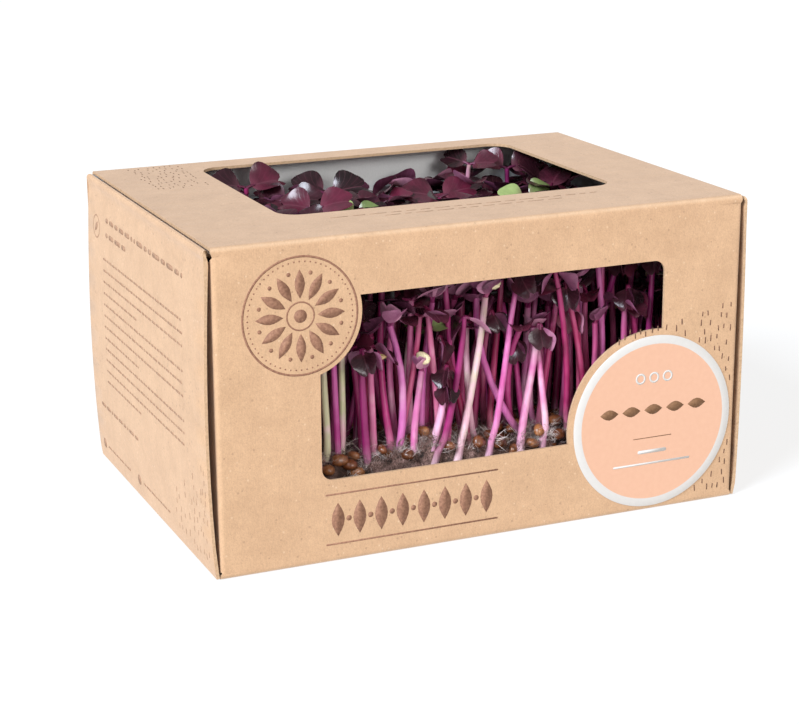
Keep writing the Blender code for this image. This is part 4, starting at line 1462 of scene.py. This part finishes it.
def add_hair(pile, start, heading, length, radius, rng):
    """One root hair: a thin spike with a bend."""
    side = Vector([rng.uniform(-1, 1) for _ in range(3)]) * length * 0.3
    end = start + heading * length + side * 0.6
    middle = start + heading * length * 0.5 + side
    path = [tuple(p) for p in (start, start.lerp(middle, 0.55), middle.lerp(end, 0.25), end)]
    pile.add(*tube(path, (radius, radius * 0.8, radius * 0.55, radius * 0.12), 3))


def build_roots(sprouts, feet):
    """White root hairs and thick white first roots round the stems' feet, most at the front."""
    rng = random.Random(SEED_OF_RULE + 17)
    hairs = Pile()
    roots = Pile()
    for sprout in sprouts:
        x, y = sprout["foot"]
        ground, _ = mat_height(x, y, feet)
        count = 26 if y < -30 else 14 if y < -5 else 6
        for _ in range(count):
            angle = rng.uniform(0, 2 * math.pi)
            out = Vector((math.cos(angle), math.sin(angle), 0))
            start = Vector((x, y, ground + rng.uniform(-0.3, 2.6))) + out * rng.uniform(0.4, 1.2)
            heading = (out + Vector((0, 0, rng.uniform(-0.5, 0.9)))).normalized()
            add_hair(hairs, start, heading, rng.uniform(1.6, 5.0), rng.uniform(0.05, 0.09), rng)
        if rng.random() < 0.55 and abs(x) < 62 and abs(y) < 42:
            angle = rng.uniform(0, 2 * math.pi)
            out = np.array((math.cos(angle), math.sin(angle), 0.0))
            foot = np.array((x, y, ground + 0.4))
            far = foot + out * rng.uniform(4.0, 7.5) + (0, 0, -1.6)
            up = (0, 0, rng.uniform(0.6, 2.6))
            path = bezier(foot, foot + out * 1.6 + up, far - out * 1.2 + up, far, 9)
            girths = rng.uniform(0.5, 0.85) * np.array((1.0, 1.1, 1.1, 1.0, 0.95, 0.85, 0.75, 0.6, 0.4))
            roots.add(*tube(path, girths, 7))
            for _ in range(16 if y < -20 else 5):
                at = Vector(path[rng.randrange(1, 8)])
                angle = rng.uniform(0, 2 * math.pi)
                heading = Vector((math.cos(angle), math.sin(angle), rng.uniform(-0.2, 1.0))).normalized()
                add_hair(hairs, at, heading, rng.uniform(1.2, 3.4), rng.uniform(0.045, 0.07), rng)
    for _ in range(TUFTS):
        x = rng.uniform(-66, 66)
        y = -47.0 + 88.0 * rng.random() ** 3
        ground, _ = mat_height(x, y, feet)
        for _ in range(TUFT_HAIRS):
            away_x, away_y = two(rng, -TUFT_SPREAD, TUFT_SPREAD)
            at = Vector((x + away_x, y + away_y, ground - 0.4))
            heading = Vector((*two(rng, -1, 1), rng.uniform(0.2, 1.6))).normalized()
            add_hair(hairs, at, heading, rng.uniform(1.4, 4.2), rng.uniform(0.045, 0.085), rng)
    hairs.build("root_hairs", (ROOT_WHITE,), "sprout")
    roots.build("first_roots", (ROOT_WHITE,), "sprout")


def build_seeds(clumps, sprouts, feet):
    rng = random.Random(SEED_OF_RULE + 19)
    pile = Pile()
    plugs = [clump["centre"] for clump in clumps]
    placed = []
    for x, y, turn, tip in plan_seeds(plugs):
        ground, _ = mat_height(x, y, feet)
        add_seed(pile, x, y, ground + 0.5, turn, tip, 1.0, rng.uniform(0.3, 0.9), rng)
        placed.append((x, y, ground + 0.5))
    to_stem, to_seed = SCATTER_SPACES
    stands = np.array([sprout["foot"] for sprout in sprouts])
    for _ in range(SEED_TRIES):
        if len(placed) > SCATTERED_SEEDS:
            break
        x, y = rng.uniform(-65, 65), -47.0 + 91.0 * rng.random() ** 3.2
        ground, _ = mat_height(x, y, feet)
        z = ground + rng.choice((0.3, 0.6, 1.2, 2.8))
        if np.hypot(stands[:, 0] - x, stands[:, 1] - y).min() < to_stem:
            continue
        near = [abs(x - px) + abs(y - py) + abs(z - pz) for px, py, pz in placed]
        if min(near) < to_seed:
            continue
        placed.append((x, y, z))
        scale = rng.uniform(0.80, 1.15)
        turn, tip = rng.uniform(0, 6.3), rng.uniform(-1.2, 1.2)
        add_seed(pile, x, y, z, turn, tip, scale, rng.uniform(0.1, 1.0), rng)
    pile.build("scattered_seeds", (SEED_COAT,), "growing_mat")


def build_hulls(sprouts):
    """Split seed hulls that still sit on some leaf pairs near the front window."""
    rng = random.Random(SEED_OF_RULE + 23)
    pile = Pile()
    for sprout in sprouts:
        chosen = sprout.get("pose") == "hull"
        if not chosen and (rng.random() > HULL_SHARE or sprout["foot"][1] > HULLS_TO):
            continue
        leaf = leaf_frame(sprout, 0)
        size = sprout["size"][0]
        x, y, z = leaf @ (Vector((rng.uniform(4.6, 6.4), rng.uniform(-1.5, 1.5), 1.3)) * size)
        scale = np.array(HULL_SHAPE) * (1.25 if chosen else rng.uniform(0.8, 1.0))
        tone = 0.95 if chosen else rng.uniform(0.15, 0.8)
        heading = math.atan2(leaf[1][0], leaf[0][0])
        tip = 1.2 if chosen else rng.uniform(-1.4, 1.4)
        add_seed(pile, x, y, z, heading + rng.uniform(-0.5, 0.5), tip, scale, tone, rng)
    pile.build("seed_hulls", (HULL,), "growing_mat")


# Stage

def build_stage():
    mesh = bpy.data.meshes.new("floor")
    corners = [(x * FLOOR_REACH, y * FLOOR_REACH, 0) for x, y in ((-1, -1), (1, -1), (1, 1), (-1, 1))]
    mesh.from_pydata(corners, [], [(0, 1, 2, 3)])
    look = Look("pale_floor", 0.9, Specular_IOR_Level=0.1, Emission_Color=(1.0, 1.0, 1.0),
                Emission_Strength=FLOOR_GLOW)
    colour = look.ramp(look.noise(8.0, 2.0), (0.3, FLOOR_TONE), (0.7, FLOOR_TONE * 1.02))
    mesh.materials.append(look.finish(colour))
    floor = new_object("floor", mesh)


def add_light(name, kind, place, target, energy, colour=(1, 1, 1)):
    data = bpy.data.lights.new(name, kind)
    data.energy = energy
    data.color = colour
    lamp = new_object(name, data)
    lamp.location = place
    lamp.rotation_mode = "QUATERNION"
    lamp.rotation_quaternion = (Vector(target) - Vector(place)).to_track_quat("-Z", "Y")
    return data


def build_light():
    world = bpy.data.worlds.new("studio")
    bpy.context.scene.world = world
    world.use_nodes = True
    background = world.node_tree.nodes["Background"]
    background.inputs["Color"].default_value = (1.0, 1.0, 1.0, 1.0)
    background.inputs["Strength"].default_value = WORLD_STRENGTH
    key = add_light("key", "SUN", KEY_FROM, (0, 0, 0), KEY_STRENGTH, KEY_COLOUR)
    key.angle = math.radians(KEY_ANGLE)
    fill = add_light("fill", "AREA", FILL_FROM, (0, 0, 0.04), FILL_POWER)
    fill.shape = "DISK"
    fill.size = FILL_SIZE
    bpy.context.scene.view_settings.view_transform = "Standard"
    bpy.context.scene.view_settings.look = "None"


def build_camera():
    azimuth, elevation, roll = map(math.radians, CAMERA_TURN)
    back = Vector((math.sin(azimuth) * math.cos(elevation), -math.cos(azimuth) * math.cos(elevation),
                   math.sin(elevation)))
    right = Vector((math.cos(azimuth), math.sin(azimuth), 0))
    up = back.cross(right)
    right, up = (math.cos(roll) * right + math.sin(roll) * up, -math.sin(roll) * right + math.cos(roll) * up)
    camera = new_object("camera", bpy.data.cameras.new("camera"))
    camera.data.lens = CAMERA_LENS
    camera.data.sensor_width = 36.0
    camera.data.clip_start = 0.01
    camera.data.clip_end = 50.0
    turn = Matrix((right, up, back)).transposed().to_4x4()
    camera.matrix_world = Matrix.Translation(Vector(CAMERA_PLACE) * MM) @ turn
    bpy.context.scene.camera = camera


KRAFT = kraft_material()
CARD_INSIDE = card_inside_material()
CUT_EDGE = grained_material("card_cut_edge", 0.85, 0.2, (1500.0, 3.0),
                            ((0.3, (0.40, 0.255, 0.150)), (0.6, (0.52, 0.345, 0.210))), (0.0001, 0.6))
INK = ink_material("brown_ink", (0.205, 0.095, 0.058), (0.34, 0.175, 0.105))
INK_DARK = ink_material("dark_ink", (0.100, 0.050, 0.032), (0.24, 0.125, 0.075))
INK_FAINT = ink_material("faint_ink", (0.300, 0.165, 0.100), (0.46, 0.28, 0.175))
LABEL_WHITE = paper_material("label_white", (0.570, 0.538, 0.502), (0.545, 0.515, 0.480))
LABEL_PEACH = paper_material("label_peach", (0.645, 0.372, 0.246), (0.625, 0.354, 0.232))
LABEL_INK = ink_material("label_ink", (0.175, 0.085, 0.040), (0.23, 0.12, 0.06))
TRAY_PLASTIC = tray_material()
WET_MAT = mat_material()
SEED_COAT = coat_material("seed_coat", 0.30, 1300.0, 0.8,
                          ((0.040, 0.010, 0.003), (0.185, 0.054, 0.016), (0.34, 0.135, 0.048)),
                          (0.55, 1.25), Coat_Weight=0.35, Coat_Roughness=0.16)
HULL = coat_material("split_hull", 0.5, 1600.0, 0.5,
                     ((0.20, 0.09, 0.035), (0.50, 0.33, 0.15), (0.74, 0.62, 0.38)), (0.6, 1.2))
ROOT_WHITE = grained_material("root_hair", 0.5, 0.35, (150.0, 3.0),
                              ((0.42, (0.17, 0.090, 0.072)), (0.62, (0.80, 0.69, 0.64))))
STEM_SKIN = stem_material()
LEAF_TOP = leaf_material("leaf_upper_skin", 0.24,
                         ((0.010, 0.004, 0.005), (0.038, 0.008, 0.014), (0.125, 0.014, 0.036)),
                         ((0.055, 0.080, 0.022), (0.300, 0.380, 0.140)), (0.150, 0.045, 0.065))
LEAF_UNDER = leaf_material("leaf_lower_skin", 0.40,
                           ((0.070, 0.016, 0.036), (0.240, 0.075, 0.145), (0.580, 0.270, 0.370)),
                           ((0.160, 0.220, 0.070), (0.400, 0.520, 0.200)), (0.420, 0.150, 0.250))

build_camera()
build_light()
build_stage()
build_sleeve()
left_strip = build_end_panel(-1, "left_outer_flap", "left_end")
right_strip = build_end_panel(1, "right_outer_flap", "right_end")
build_front_print()
build_dashes()
build_top_print()
build_end_print(left_strip, "left_end", "print_left_end", True)
build_end_print(right_strip, "right_end", "print_right_end", False)
build_label()
build_tray()
clumps = plan_clumps()
paired = [sprout for clump in clumps for sprout in clump["pair"]]
heroes = plan_heroes(clumps)
fillers = heroes + plan_fillers(paired + heroes)
sprouts = paired + fillers
feet = np.array([sprout["foot"] for sprout in sprouts])
build_mat(feet)
build_sprouts(clumps, fillers)
build_roots(sprouts, feet)
build_seeds(clumps, sprouts, feet)
build_hulls(sprouts)
